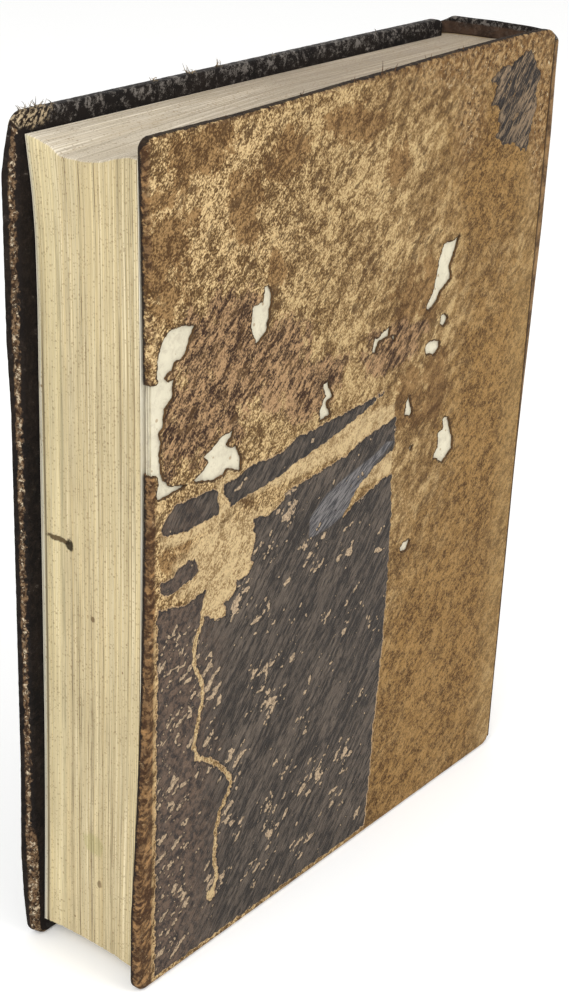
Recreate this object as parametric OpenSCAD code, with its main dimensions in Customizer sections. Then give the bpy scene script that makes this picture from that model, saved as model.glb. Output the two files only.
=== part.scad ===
// An old full-leather hardback, standing on its tail. X is the thickness, with the back cover at +X,
// the fore-edge faces -Y, the spine +Y, and Z is up. The origin is under the middle of the book.

/* [Covers] */
// Height of the covers, head to tail
cover_h = 250; // [200:1:320]
// Width of the covers, fore-edge to joint
cover_w = 187; // [140:1:240]
// Thickness of the pasteboard
board_t = 2.2; // [1.6:0.1:4]
// Radius of the covers' corners at the fore-edge
corner_r = 3.5; // [2:0.5:8]
// Radius of the covers' and the spine's corners at the joint
joint_corner_r = 2.8; // [0.5:0.1:3]
// Depth of the hollow worn into the back cover's fore-edge
wear_depth = 4.6; // [1:0.2:6]
// Height of the deepest point of that hollow
wear_z = 150; // [110:5:190]
// Play between the covers and the spine at the joint
joint_gap = 0.1; // [0.05:0.05:0.3]

/* [Leather] */
// Thickness of the leather under its dark grain
flesh_t = 0.6; // [0.4:0.1:1.2]
// Thickness of the dark grain layer, worn off most of the back cover
grain_t = 0.2; // [0.1:0.05:0.4]
// Pared thickness of the leather where it is turned in
turnin_t = 0.4; // [0.2:0.1:0.8]
// Width of the turn-ins inside the covers
turnin_w = 15; // [8:1:25]
// Size of the worn arris round the covers' outer face
arris = 0.5; // [0.2:0.1:0.7]

/* [Spine] */
// How far the spine stands out behind the joints
spine_bulge = 7; // [5.5:0.5:12]
// Radius of the spine's two shoulders
shoulder_r = 5; // [3:0.5:5.4]
// Thickness of the paper and glue that line the spine
lining_t = 0.4; // [0.2:0.1:1]

/* [Leaves] */
// Thickness of the sewn leaves
leaves_t = 36; // [20:1:70]
// How far the covers stand proud of the leaves at the head
head_square = 5; // [3:0.5:8]
// How far the covers stand proud of the leaves at the tail
tail_square = 3.8; // [2:0.2:8]
// How far the covers stand proud of the leaves at the fore-edge
fore_square = 2.6; // [2:0.2:8]
// Hollow of the fore-edge across the thickness
fore_hollow = 1.2; // [0.5:0.1:4]
// Hollow of the fore-edge along the height
fore_bow = 2; // [0.5:0.1:4]
// Depth of the dip worn into the head at the fore-edge
head_dip = 4; // [1:0.5:6]
// Length of that dip from the fore-edge towards the spine
dip_len = 90; // [60:5:140]

/* [Papers] */
// Thickness of the pastedowns
paste_t = 0.2; // [0.1:0.05:0.4]
// Leather left in view round the pastedowns
paste_margin = 6.5; // [2:0.5:7.5]
// Thickness of the loose flyleaves
fly_t = 0.2; // [0.1:0.05:0.4]
// Air between a pastedown and its flyleaf
page_gap = 0.1; // [0.05:0.05:0.4]
// Air between a flyleaf and the leaves
fly_gap = 0.3; // [0.1:0.05:0.8]
// Width of the glued strip that tips a flyleaf on to the leaves at the joint
tip_w = 5; // [2:0.5:10]

/* [Sewing] */
// Number of cords that the leaves are sewn on
cord_count = 5; // [3:1:5]
// Diameter of a sewing cord
cord_d = 2; // [1:0.2:3]
// Clearance of a cord in its sawn kerf
kerf_play = 0.15; // [0.1:0.05:0.3]
// Length of the frayed slip on a board
slip_len = 26; // [15:1:40]
// Width of a slip at the joint
slip_w = 4; // [2:0.5:6]
// Width of a slip at its frayed end
slip_end_w = 12; // [6:1:16]

/* [Hidden] */
$fn = 96;

leather_t = flesh_t + grain_t;
cover_t = leather_t + board_t + turnin_t;
// Half the book's thickness, built up from its middle
half_t = leaves_t / 2 + fly_gap + fly_t + page_gap + paste_t + cover_t;
depth = cover_w + spine_bulge;
fore_y = -depth / 2;
joint_y = fore_y + cover_w;
cover_edge_y = joint_y - joint_gap;

leaves_fore_y = fore_y + fore_square;
leaves_top_z = cover_h - head_square;
leaves_h = leaves_top_z - tail_square;
leaves_mid_z = (leaves_top_z + tail_square) / 2;

// The spine's back is a wide arc that runs tangent into the two shoulder arcs
shoulder_x = half_t - shoulder_r;
back_r = (pow(shoulder_x, 2) + pow(spine_bulge, 2) - pow(shoulder_r, 2)) / (2 * (spine_bulge - shoulder_r));
back_y = joint_y + spine_bulge - back_r;
// Layers under the spine's outer face
lining_in = leather_t;
leaves_in = leather_t + lining_t;

// Cords lie in kerfs cut square into the sewn folds
kerf_r = back_r - leaves_in;
cord_r = kerf_r - kerf_play - cord_d / 2;
cord_angle = asin((half_t - leaves_in - 2) / cord_r);

// Pieces that reach past a face to cut it cleanly
over = 1;
small = 0.01;

// Wear on the back cover. Each outline is a list of [from the fore-edge, from the tail].
// Places where the leather is lost down to the board
losses = [
    [[142, 197.5], [139.5, 196.5], [133.5, 196.5], [132, 192.5], [131, 187], [129.5, 183], [126.5, 178.5],
        [128, 177], [131.5, 178.5], [134, 182], [139, 184.5], [138, 188.5], [140.5, 194]],
    [[135, 174], [134.5, 171.5], [137, 170], [139, 172], [137, 174]],
    [[108.5, 177], [104, 176.5], [103, 175], [100.5, 175.5], [100, 171.5], [101.5, 170.5], [103.5, 174],
        [107.5, 174]],
    [[111, 174], [109.5, 173.5], [110.5, 172], [111.5, 172.5]],
    [[130, 167], [127.5, 166], [128, 163.5], [133, 162], [135.5, 163.5], [135, 166]],
    [[79, 168.5], [76.5, 168], [78, 164], [75.5, 161], [75.5, 157], [81, 157.5], [79, 162], [82, 163],
        [80.5, 165]],
    [[121, 152.5], [119.5, 150.5], [119, 146.5], [121.5, 145], [123, 145.5], [122, 149.5]],
    [[124, 135], [122.5, 134.5], [123.5, 133.5], [124.5, 134]],
    [[143.5, 139], [140.5, 139], [141, 135], [138, 135], [138.5, 130.5], [136.5, 127], [142.5, 123.5],
        [147.5, 127], [147, 130.5], [145.5, 133.5]],
    [[127, 102], [123, 102.5], [121, 101], [122.5, 99.5], [124.5, 98.5], [126, 100]],
    [[50, 203.5], [48.5, 203], [48, 199], [44, 199], [43, 193], [44, 191], [46, 187.5], [50.5, 190.5],
        [51.5, 196], [52, 199.5], [51, 202]],
    [[36.5, 166], [31.5, 165.5], [30, 164], [25, 162], [27, 160], [24.5, 158], [21, 156.5], [22.5, 155.5],
        [28.5, 154], [33.5, 154], [35.5, 155.5], [40.5, 153], [40.5, 157], [38.5, 161.5], [36.5, 161],
        [34.5, 162.5], [37.5, 165]],
];
// The loss that runs out over the fore-edge
edge_loss = [[21, 199.5], [16, 200.5], [11, 200.5], [8.5, 199], [6.5, 194.5], [6, 189.5], [6.5, 187.5],
    [-2, 187.5], [-2, 158], [3.5, 158.5], [4.5, 161], [6.5, 162.5], [7, 160], [6, 156.5], [7, 155], [13, 155.5],
    [18.5, 156], [14.5, 157], [11.5, 158], [9.5, 160], [8, 162.5], [7.5, 168], [8, 171], [7, 174], [9, 175],
    [9.5, 179.5], [12.5, 182.5], [13, 187], [10.5, 187], [9, 188.5], [12, 189.5], [13, 191], [17.5, 192.5],
    [18.5, 195.5]];

// Dark grain left below the losses: a panel with torn bands across it
panel_left = 7;
panel_right = 114.5;
panel_foot = 2;
panel_main = [[panel_right, 148], [108.5, 146.5], [98, 145], [90.5, 143], [81.5, 141.5], [65, 140.5], [60.5, 140],
    [60.5, 137.5], [53, 135.5], [47, 137], [46.5, 134.5], [48, 131], [47.5, 127], [46, 125], [47, 122],
    [44.5, 120], [40, 120], [40, 117], [37, 115], [34, 115.5], [36, 111], [31.5, 111], [25, 116], [27.5, 122],
    [19.5, 121], [14.5, 121.5], [panel_left, 123.5], [panel_left, panel_foot], [112, panel_foot], [113.5, 40],
    [115.5, 70], [115.5, 113], [114, 129], [108.5, 128.5], [100.5, 126.5], [94.5, 125], [89, 122], [93.5, 127],
    [98.5, 131], [103.5, 133.5], [112, 136], [panel_right, 138]];
panel_strip = [[33, 152], [40, 151.5], [44.5, 153.5], [56.5, 153], [63, 154.5], [66.5, 155.5], [80, 156],
    [101, 157], [110.5, 157.5], [97, 153.5], [85, 150.5], [72.5, 148.5], [65, 147.5], [57, 145.5], [45.5, 144.5],
    [36.5, 143.5], [36, 145], [34, 148]];
panel_tip = [[8, 146], [8.5, 148], [13.5, 152], [20, 152], [29.5, 151.5], [31, 150.5], [32, 143], [24, 142.5],
    [17, 142.5], [12, 143.5], [8.5, 144.5]];
panel_island = [[14, 132.5], [18, 133.5], [22.5, 133.5], [24.5, 129.5], [22, 127.5], [16.5, 126.5],
    [11.5, 125.5], [8, 127.5], [8, 131], [13, 131]];
// A crack that runs down through the panel, and its width
crack = [[27, 118], [25.5, 112], [22.5, 107], [22.5, 100], [26, 94], [26.5, 87], [24.5, 81], [23, 74],
    [24, 69.5], [31.5, 65], [37, 59.5], [40.5, 53.5], [38, 49], [35, 45.5], [34, 40], [33.5, 28.5], [35, 22.5],
    [32, 18]];
crack_w = 1.2;
crack_end_w = 4;
// The patch of grain left at the head of the joint, as [from the joint, from the head]
corner_patch = [[-40, -7.5], [-37, -10.2], [-33, -9], [-30.5, -10], [-31.5, -12.5], [-32.5, -14.5], [-35, -15],
    [-34, -16], [-30, -16], [-28.5, -18], [-28.5, -20.5], [-30, -21], [-27.5, -22], [-28, -24.5], [-30, -25],
    [-28.5, -26.5], [-26, -28], [-24, -29.2], [-21.5, -29.7], [-18, -29.5], [-16, -31.2], [-14.5, -32.2],
    [-12, -32.5], [-9.5, -34], [-10.2, -31], [-10, -28], [-9, -25], [-8, -22], [-6.5, -20.5], [-7.5, -18],
    [-8.5, -15], [-8, -13.5], [-5.5, -12], [-7, -9], [-9, -8], [-10.5, -5.5], [-11, -3.5], [-13, -2.5],
    [-17, -2.5], [-21, -4], [-24, -5.5], [-27, -5.2], [-30, -5.5], [-32.5, -7], [-36, -8.4]];

// Radius of an arc from its chord and its depth
function arc_r(chord, sag) = (pow(chord / 2, 2) + pow(sag, 2)) / (2 * sag);
// A point beside the crack, square to the line between the points before and after it
function crack_side(i, side) =
    let (along = crack[min(i + 1, len(crack) - 1)] - crack[max(i - 1, 0)])
    crack[i] + side * crack_w / 2 * [-along[1], along[0]] / norm(along);
// Height of a cord, with the cords spread evenly over the leaves
function cord_z(i) = tail_square + leaves_h * (i - 0.5) / cord_count;

// A flat sheet from x0 outwards, with its outline drawn in Y and Z
module sheet(x0, thick) {
    translate([x0, 0, 0])
        rotate([90, 0, 90])
            linear_extrude(thick)
                children();
}

// Places an outline that is measured from the fore-edge and the tail
module at_fore_edge() {
    translate([fore_y, 0]) children();
}

// Turns what is modelled on the back cover's side over to the front cover's side
module on_side(side) {
    if (side > 0) children();
    else mirror([1, 0, 0]) children();
}

// A cover's outline, drawn in by inset on its three free edges
module cover_outline(inset) {
    low_y = fore_y + inset;
    high_z = cover_h - inset;
    r = max(corner_r - inset, 0.5);
    q = min(joint_corner_r, r);
    translate([low_y + r, inset]) square([cover_edge_y - q - low_y - r, high_z - inset]);
    translate([low_y, inset + r]) square([cover_edge_y - low_y, high_z - inset - 2 * r]);
    for (z = [inset + r, high_z - r])
        translate([low_y + r, z]) circle(r);
    translate([cover_edge_y - 2 * r, inset + q]) square([2 * r, high_z - inset - 2 * q]);
    for (z = [inset + q, high_z - q])
        translate([cover_edge_y - q, z]) circle(q);
}

// The back cover's fore-edge is worn hollow along an arc, with its head corner rounded off after it
wear_r = arc_r(cover_h, wear_depth);
wear_at_head = max(wear_depth - pow(cover_h - wear_z, 2) / (2 * wear_r), 0);
module worn_outline(inset) {
    r = max(corner_r - inset, 0.5);
    corner_y = fore_y + wear_at_head + inset;
    difference() {
        cover_outline(inset);
        translate([fore_y + wear_depth - wear_r, wear_z]) circle(wear_r + inset, $fn = 720);
        translate([corner_y, cover_h - inset])
            difference() {
                translate([-over, -r]) square(r + over);
                translate([r, -r]) circle(r);
            }
    }
}

// Outline of either cover
module side_outline(side, inset) {
    if (side > 0) worn_outline(inset);
    else cover_outline(inset);
}

// Cuts the arris off the cover's head, tail and fore-edge
module arris_cuts(side) {
    len = cover_w + 2 * over;
    for (z = [0, cover_h])
        translate([half_t, fore_y - over, z])
            rotate([0, 45, 0])
                translate([-arris * sqrt(2) / 2, 0, -arris * sqrt(2) / 2])
                    cube([arris * sqrt(2), len, arris * sqrt(2)]);
    if (side > 0)
        translate([half_t - arris, fore_y + wear_depth - wear_r, wear_z])
            rotate([0, 90, 0])
                cylinder(h = arris + small, r1 = wear_r, r2 = wear_r + arris + small, $fn = 720);
    else
        translate([half_t, fore_y, -over])
            rotate([0, 0, 45])
                translate([-arris * sqrt(2) / 2, -arris * sqrt(2) / 2, 0])
                    cube([arris * sqrt(2), arris * sqrt(2), cover_h + 2 * over]);
}

// Leather over a cover: outer face, three edges and the turn-ins round the inner face
module cover_leather(side, grain) {
    difference() {
        sheet(half_t - cover_t, cover_t - grain_t + grain) side_outline(side, 0);
        board_shape(side);
        sheet(half_t - cover_t - over, turnin_t + over + small)
            translate([fore_y + turnin_w, turnin_w])
                square([cover_w, cover_h - 2 * turnin_w]);
        arris_cuts(side);
    }
}

module board_shape(side) {
    sheet(half_t - leather_t - board_t, board_t) side_outline(side, flesh_t);
}

module front_board() { color([0.80, 0.74, 0.62]) on_side(-1) board_shape(-1); }
module back_board() { color([0.88, 0.84, 0.74]) on_side(1) board_shape(1); }

module front_leather() {
    color([0.17, 0.12, 0.09]) on_side(-1) cover_leather(-1, grain_t);
}

// The back leather has lost its grain, and in places all of its thickness
module back_leather() {
    color([0.60, 0.46, 0.28])
        difference() {
            cover_leather(1, 0);
            for (shape = losses)
                sheet(half_t - leather_t, leather_t + over) at_fore_edge() polygon(shape);
            sheet(half_t - leather_t - board_t, board_t + leather_t + over) at_fore_edge() polygon(edge_loss);
        }
}

module back_grain_panel() {
    color([0.30, 0.26, 0.24])
        sheet(half_t - grain_t, grain_t)
            at_fore_edge()
                difference() {
                    for (shape = [panel_main, panel_strip, panel_tip, panel_island])
                        polygon(shape);
                    crack_outline();
                }
}

// The crack: a strip along its points, with a torn spot at its end
module crack_outline() {
    last = len(crack) - 1;
    polygon([for (i = [0:last]) crack_side(i, 1), for (i = [last:-1:0]) crack_side(i, -1)]);
    translate(crack[last]) circle(d = crack_end_w, $fn = 24);
}

module back_grain_corner() {
    color([0.34, 0.29, 0.25])
        sheet(half_t - grain_t, grain_t)
            translate([joint_y, cover_h]) polygon(corner_patch);
}

// One slip's outline on the board, from the joint towards the fore-edge
module slip_outline(i) {
    end_r = slip_end_w / 2;
    translate([cover_edge_y, cord_z(i)]) {
        polygon([[-small, slip_w / 2], [-slip_len + end_r, end_r], [-slip_len + end_r, -end_r],
            [-small, -slip_w / 2]]);
        translate([-slip_len + end_r, 0]) circle(end_r);
    }
}

// A cord's frayed end, glued flat to the inner face of a board
module slip(side, i) {
    color([0.72, 0.63, 0.46])
        on_side(side)
            sheet(half_t - cover_t, turnin_t) slip_outline(i);
}

// The pastedown fills the window inside the turn-ins and laps over them
module pastedown(side) {
    window_x = half_t - cover_t;
    color([0.86, 0.80, 0.66])
        on_side(side) {
            sheet(window_x - paste_t, paste_t)
                intersection() {
                    side_outline(side, paste_margin);
                    translate([fore_y, 0]) square([cover_w - joint_gap, cover_h]);
                }
            sheet(window_x - small, turnin_t + small)
                difference() {
                    translate([fore_y + turnin_w, turnin_w])
                        square([cover_edge_y - fore_y - turnin_w, cover_h - 2 * turnin_w]);
                    for (i = [1:cord_count])
                        slip_outline(i);
                }
        }
}

// The spine's outline in plan, drawn in by inset: a wide arc and two shoulders
module spine_outline(inset) {
    reach = 1.2;
    intersection() {
        translate([0, back_y]) circle(back_r - inset, $fn = 360);
        polygon([[0, back_y], [shoulder_x * reach, back_y + (joint_y - back_y) * reach],
            [-shoulder_x * reach, back_y + (joint_y - back_y) * reach]]);
    }
    for (s = [-1, 1])
        translate([s * shoulder_x, joint_y]) circle(shoulder_r - inset);
    translate([inset - half_t, joint_y - shoulder_r]) square([2 * (half_t - inset), shoulder_r]);
}

// Keeps what lies behind the joints
module behind_joints() {
    intersection() {
        children();
        translate([-half_t - over, joint_y, -over])
            cube([2 * (half_t + over), spine_bulge + over, cover_h + 2 * over]);
    }
}

// A layer of the spine between two insets
module spine_layer(inset, thick, z0, height) {
    behind_joints()
        translate([0, 0, z0])
            difference() {
                linear_extrude(height) spine_outline(inset);
                translate([0, 0, -over]) linear_extrude(height + 2 * over) spine_outline(inset + thick);
            }
}

// The spine's leather, doubled at head and tail where it is turned in above the leaves
module spine_leather() {
    color([0.20, 0.13, 0.10])
        intersection() {
            union() {
                spine_layer(0, leather_t, 0, cover_h);
                spine_layer(leather_t - small, turnin_t + small, leaves_top_z, head_square);
                spine_layer(leather_t - small, turnin_t + small, 0, tail_square);
            }
            spine_from_behind();
        }
}

// The spine's upright outline, whose corners are rounded off like the covers'
module spine_from_behind() {
    q = joint_corner_r;
    translate([0, joint_y + spine_bulge + over, 0])
        rotate([90, 0, 0])
            linear_extrude(spine_bulge + 2 * over) {
                translate([q - half_t, 0]) square([2 * (half_t - q), cover_h]);
                translate([-half_t, q]) square([2 * half_t, cover_h - 2 * q]);
                for (x = [q - half_t, half_t - q], z = [q, cover_h - q])
                    translate([x, z]) circle(q);
            }
}

module spine_lining() {
    color([0.70, 0.62, 0.48]) spine_layer(lining_in, lining_t, tail_square, leaves_h);
}

// A ring sector about the axis of the spine's arc, wide enough for one cord
module kerf(i) {
    depth_in = cord_d + 2 * kerf_play;
    translate([0, back_y, cord_z(i) - depth_in / 2])
        difference() {
            cylinder(h = depth_in, r = kerf_r + over, $fn = 360);
            translate([0, 0, -over]) cylinder(h = depth_in + 2 * over, r = kerf_r - depth_in, $fn = 360);
            translate([-back_r, -2 * back_r, -over]) cube([2 * back_r, 2 * back_r, depth_in + 2 * over]);
        }
}

// The sewn leaves: backed at the spine, hollow at the fore-edge and worn down at the head
module leaves() {
    fore_hollow_r = arc_r(leaves_t, fore_hollow);
    bow_r = arc_r(leaves_h, fore_bow);
    dip_r = arc_r(leaves_t, head_dip);
    dip_tilt = atan(head_dip / dip_len);
    color([0.88, 0.82, 0.62])
        difference() {
            translate([0, 0, tail_square]) {
                translate([-leaves_t / 2, leaves_fore_y, 0])
                    cube([leaves_t, joint_y - leaves_fore_y + small, leaves_h]);
                behind_joints() linear_extrude(leaves_h) spine_outline(leaves_in);
            }
            translate([0, leaves_fore_y + fore_hollow - fore_hollow_r, -over])
                cylinder(h = cover_h, r = fore_hollow_r, $fn = 180);
            fore_bow_cut(bow_r);
            translate([0, leaves_fore_y, leaves_top_z - head_dip + dip_r])
                rotate([-90 + dip_tilt, 0, 0])
                    translate([0, 0, -2 * dip_r])
                        cylinder(h = 6 * dip_r, r = dip_r, $fn = 180);
            for (i = [1:cord_count])
                kerf(i);
        }
}

// Hollows the fore-edge of the leaves along their height
module fore_bow_cut(bow_r) {
    translate([-half_t, leaves_fore_y + fore_bow - bow_r, leaves_mid_z])
        rotate([0, 90, 0])
            cylinder(h = 2 * half_t, r = bow_r, $fn = 720);
}

// The loose leaf of each endpaper, glued to the leaves along the joint
module flyleaf(side) {
    color([0.90, 0.87, 0.78])
        on_side(side)
            difference() {
                union() {
                    translate([leaves_t / 2 + fly_gap, leaves_fore_y, tail_square])
                        cube([fly_t, cover_edge_y - leaves_fore_y, leaves_h]);
                    translate([leaves_t / 2, cover_edge_y - tip_w, tail_square])
                        cube([fly_gap + small, tip_w, leaves_h]);
                }
                fore_bow_cut(arc_r(leaves_h, fore_bow));
            }
}

// A sewing cord, laid across the folds in its kerf
module sewing_cord(i) {
    color([0.72, 0.63, 0.46])
        translate([0, back_y, cord_z(i)])
            rotate([0, 0, 90 - cord_angle])
                rotate_extrude(angle = 2 * cord_angle, $fn = 360)
                    translate([cord_r, 0]) circle(cord_d / 2, $fn = 24);
}

leaves();
flyleaf(-1);  // front_flyleaf
flyleaf(1);  // back_flyleaf
spine_lining();
spine_leather();
front_board();
front_leather();
pastedown(-1);  // front_pastedown
back_board();
back_leather();
pastedown(1);  // back_pastedown
back_grain_panel();
back_grain_corner();
for (i = [1:cord_count]) {
    sewing_cord(i);
    slip(-1, i);
    slip(1, i);
}
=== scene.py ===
# An old full-leather hardback that stands on its tail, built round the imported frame.
# X is the thickness, with the back cover at +X, -Y is the fore-edge and Z is up. Outlines and places
# are worked out in millimetres, and every mesh is made in metres.
import math
import random

import bmesh
import bpy
import numpy as np
from mathutils import Matrix, Vector, geometry, noise


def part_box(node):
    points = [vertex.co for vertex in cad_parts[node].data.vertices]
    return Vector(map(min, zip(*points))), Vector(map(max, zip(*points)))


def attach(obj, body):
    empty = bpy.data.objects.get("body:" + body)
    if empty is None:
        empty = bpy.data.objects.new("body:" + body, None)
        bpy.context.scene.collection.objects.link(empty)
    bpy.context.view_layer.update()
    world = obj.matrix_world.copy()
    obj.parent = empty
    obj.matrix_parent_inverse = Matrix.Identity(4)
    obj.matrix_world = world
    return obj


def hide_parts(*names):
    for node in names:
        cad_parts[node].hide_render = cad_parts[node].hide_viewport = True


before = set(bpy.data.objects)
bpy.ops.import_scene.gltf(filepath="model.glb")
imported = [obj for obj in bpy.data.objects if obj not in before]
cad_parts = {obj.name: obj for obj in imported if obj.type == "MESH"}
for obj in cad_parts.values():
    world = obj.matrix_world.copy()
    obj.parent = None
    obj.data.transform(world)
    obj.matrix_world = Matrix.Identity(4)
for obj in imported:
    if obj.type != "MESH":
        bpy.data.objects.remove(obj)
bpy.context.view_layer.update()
scene = bpy.context.scene
MM = 0.001


# Camera, floor and light. The camera looks down past the fore-edge at the back cover. The studio is
# a pale floor under an even white sky, with one large soft light in front and a weaker one at the side.
CAMERA_TURN = math.radians(39.41)
CAMERA_RISE = math.radians(25.33)
CAMERA_ROLL = math.radians(1.369)
CAMERA_AWAY = 623.7
CAMERA_ASIDE = -22.3
CAMERA_UP = 98.1
CAMERA_ALONG_Y = -3.5
FOCAL_PIXELS = 1877.6
IMAGE_WIDTH, IMAGE_HEIGHT = 569, 1000
CENTRE_X, CENTRE_Y = 217.9, 532.1
SENSOR = 36.0

back = Vector((math.sin(CAMERA_TURN) * math.cos(CAMERA_RISE), -math.cos(CAMERA_TURN) * math.cos(CAMERA_RISE),
               math.sin(CAMERA_RISE)))
level = (-back).cross(Vector((0, 0, 1))).normalized()
upward = level.cross(-back)
eye = back * CAMERA_AWAY + level * CAMERA_ASIDE + upward * CAMERA_UP + Vector((0, CAMERA_ALONG_Y, 0))
across = level * math.cos(CAMERA_ROLL) + upward * math.sin(CAMERA_ROLL)
upright = upward * math.cos(CAMERA_ROLL) - level * math.sin(CAMERA_ROLL)

camera = bpy.data.objects.new("camera", bpy.data.cameras.new("camera"))
camera.data.sensor_width = SENSOR
camera.data.lens = FOCAL_PIXELS / IMAGE_HEIGHT * SENSOR
camera.data.shift_x = (IMAGE_WIDTH / 2 - CENTRE_X) / IMAGE_HEIGHT
camera.data.shift_y = (CENTRE_Y - IMAGE_HEIGHT / 2) / IMAGE_HEIGHT
camera.data.clip_end = 50
camera.matrix_world = Matrix.Translation(eye * MM) @ Matrix((across, upright, back)).transposed().to_4x4()
scene.collection.objects.link(camera)
scene.camera = camera
scene.view_settings.view_transform = "Standard"


def soft_light(name, place, size, power):
    """A square soft light that looks at the middle of the book."""
    lamp = bpy.data.objects.new(name, bpy.data.lights.new(name, "AREA"))
    lamp.data.size = size
    lamp.data.energy = power
    lamp.location = place
    lamp.rotation_euler = (Vector((0, 0, 0.12)) - Vector(place)).to_track_quat("-Z", "Y").to_euler()
    scene.collection.objects.link(lamp)


soft_light("front_light", (0.35, -1.5, 1.5), 1.2, 20)
soft_light("side_light", (1.6, 0.3, 1.3), 1.0, 14)

sky = bpy.data.worlds.new("studio")
sky.use_nodes = True
sky.node_tree.nodes["Background"].inputs["Color"].default_value = (1.0, 1.0, 1.0, 1)
sky.node_tree.nodes["Background"].inputs["Strength"].default_value = 0.78
scene.world = sky

bpy.ops.mesh.primitive_plane_add(size=40, location=(0, 0, -0.0003))
floor = bpy.context.object
floor.name = "floor"
floor_paint = bpy.data.materials.new("pale_floor")
floor_paint.use_nodes = True
floor_paint.node_tree.nodes["Principled BSDF"].inputs["Base Color"].default_value = (0.93, 0.93, 0.92, 1)
floor_paint.node_tree.nodes["Principled BSDF"].inputs["Roughness"].default_value = 0.9
floor_paint.node_tree.nodes["Principled BSDF"].inputs["Emission Color"].default_value = (1, 1, 1, 1)
floor_paint.node_tree.nodes["Principled BSDF"].inputs["Emission Strength"].default_value = 0.14
floor.data.materials.append(floor_paint)


# Leaves: the sewn paper block. Its cut edges have yellowed and roughened, a little differently from
# leaf to leaf, so they show as fine lines along the fore-edge and the head. The fore-edge is hollow,
# and the head is worn down where it meets it.
def put(tree, kind, inputs=None, **settings):
    """Adds a shader node. Its inputs are values or other nodes' outputs."""
    made = tree.nodes.new("ShaderNode" + kind)
    for name, value in settings.items():
        setattr(made, name, value)
    for key, value in (inputs or {}).items():
        feed(tree, made.inputs[key], value)
    return made


def feed(tree, socket, value):
    """Links an output to a socket, or sets the socket's own value."""
    value = value.socket if isinstance(value, Mask) else value
    if isinstance(value, bpy.types.NodeSocket):
        tree.links.new(value, socket)
    elif isinstance(value, tuple) and len(value) == 3 and socket.type == "RGBA":
        socket.default_value = (*value, 1)
    else:
        socket.default_value = value


class Mask:
    """A number in a shader tree. Sums with it become maths nodes."""

    def __init__(self, socket):
        self.socket = socket

    def __add__(self, other):
        return worked("ADD", self, other)

    def __sub__(self, other):
        return worked("SUBTRACT", self, other)

    def __rsub__(self, other):
        return worked("SUBTRACT", other, self)

    def __mul__(self, other):
        return worked("MULTIPLY", self, other)

    def __rtruediv__(self, other):
        return worked("DIVIDE", other, self)

    def __abs__(self):
        return worked("ABSOLUTE", self)

    def rise(self, low, high):
        """0 below low and 1 above high, with a soft step between. It falls where high is the lower."""
        step = {0: self, 1: low, 2: high}
        return Mask(put(self.socket.id_data, "MapRange", step, interpolation_type="SMOOTHSTEP").outputs[0])

    __radd__, __rmul__ = __add__, __mul__


def worked(operation, first, second=0.0):
    """The result of a maths node."""
    tree = (first if isinstance(first, Mask) else second).socket.id_data
    return Mask(put(tree, "Math", {0: first, 1: second}, operation=operation).outputs[0])


def layer(mask, under, over):
    """One colour laid over another through a mask."""
    return put(mask.socket.id_data, "Mix", {0: mask, 6: under, 7: over}, data_type="RGBA").outputs[2]


def clouds(place, scale, detail=3.0, rough=0.6):
    """Soft noise from 0 to 1."""
    look = {"Vector": place, "Scale": scale, "Detail": detail, "Roughness": rough}
    return Mask(put(place.id_data, "TexNoise", look).outputs[0])


def axes(vector):
    """The three numbers of a vector."""
    return [Mask(part) for part in put(vector.id_data, "SeparateXYZ", {0: vector}).outputs]


def facing(place):
    """The way that the surface faces, as three numbers."""
    return axes(put(place.id_data, "TexCoord").outputs["Normal"])


def new_group(name, **sockets):
    """An empty node group: its tree, its inputs by name, and its output socket."""
    group = bpy.data.node_groups.new(name, "ShaderNodeTree")
    for label, value in {"Place": (0, 0, 0), **sockets}.items():
        kind = "NodeSocketVector" if isinstance(value, tuple) else "NodeSocketFloat"
        socket = group.interface.new_socket(label.replace("_", " "), in_out="INPUT", socket_type=kind)
        socket.default_value = value
    group.interface.new_socket("Mask", in_out="OUTPUT", socket_type="NodeSocketFloat")
    entry = {s.name: Mask(s) if s.type == "VALUE" else s for s in group.nodes.new("NodeGroupInput").outputs}
    return group, entry, group.nodes.new("NodeGroupOutput").inputs["Mask"]


def make_mottle():
    """Ragged patches, as age and handling leave on paper and leather. Share is how much they cover."""
    group, entry, out = new_group("Mottle", Size=10.0, Share=0.5, Soft=0.08, Rough=0.65)
    look = {"Vector": entry["Place"], "Scale": 1.0 / entry["Size"], "Detail": 6.0,
            "Roughness": entry["Rough"], "Distortion": 0.3}
    fog = Mask(put(group, "TexNoise", look).outputs[0])
    middle = Mask(put(group, "MapRange", {0: entry["Share"], 3: 0.72, 4: 0.28}).outputs[0])
    feed(group, out, fog.rise(middle - entry["Soft"], middle + entry["Soft"]))
    return group


def make_stain():
    """One spot at Centre with a frayed outline, Reach wide on each axis."""
    group, entry, out = new_group("Stain", Centre=(0, 0, 0), Reach=(10, 10, 10), Fray=0.8, Fray_Size=6.0,
                                  Soft=0.25)
    away = put(group, "VectorMath", {0: entry["Place"], 1: entry["Centre"]}, operation="SUBTRACT").outputs[0]
    away = put(group, "VectorMath", {0: away, 1: entry["Reach"]}, operation="DIVIDE").outputs[0]
    away = Mask(put(group, "VectorMath", {0: away}, operation="LENGTH").outputs["Value"])
    ragged = clouds(entry["Place"], 1.0 / entry["Fray Size"], 5.0, 0.65) - 0.5
    away = away + ragged * entry["Fray"]
    feed(group, out, 1.0 - away.rise(1.0 - entry["Soft"], 1.0 + entry["Soft"]))
    return group


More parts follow.
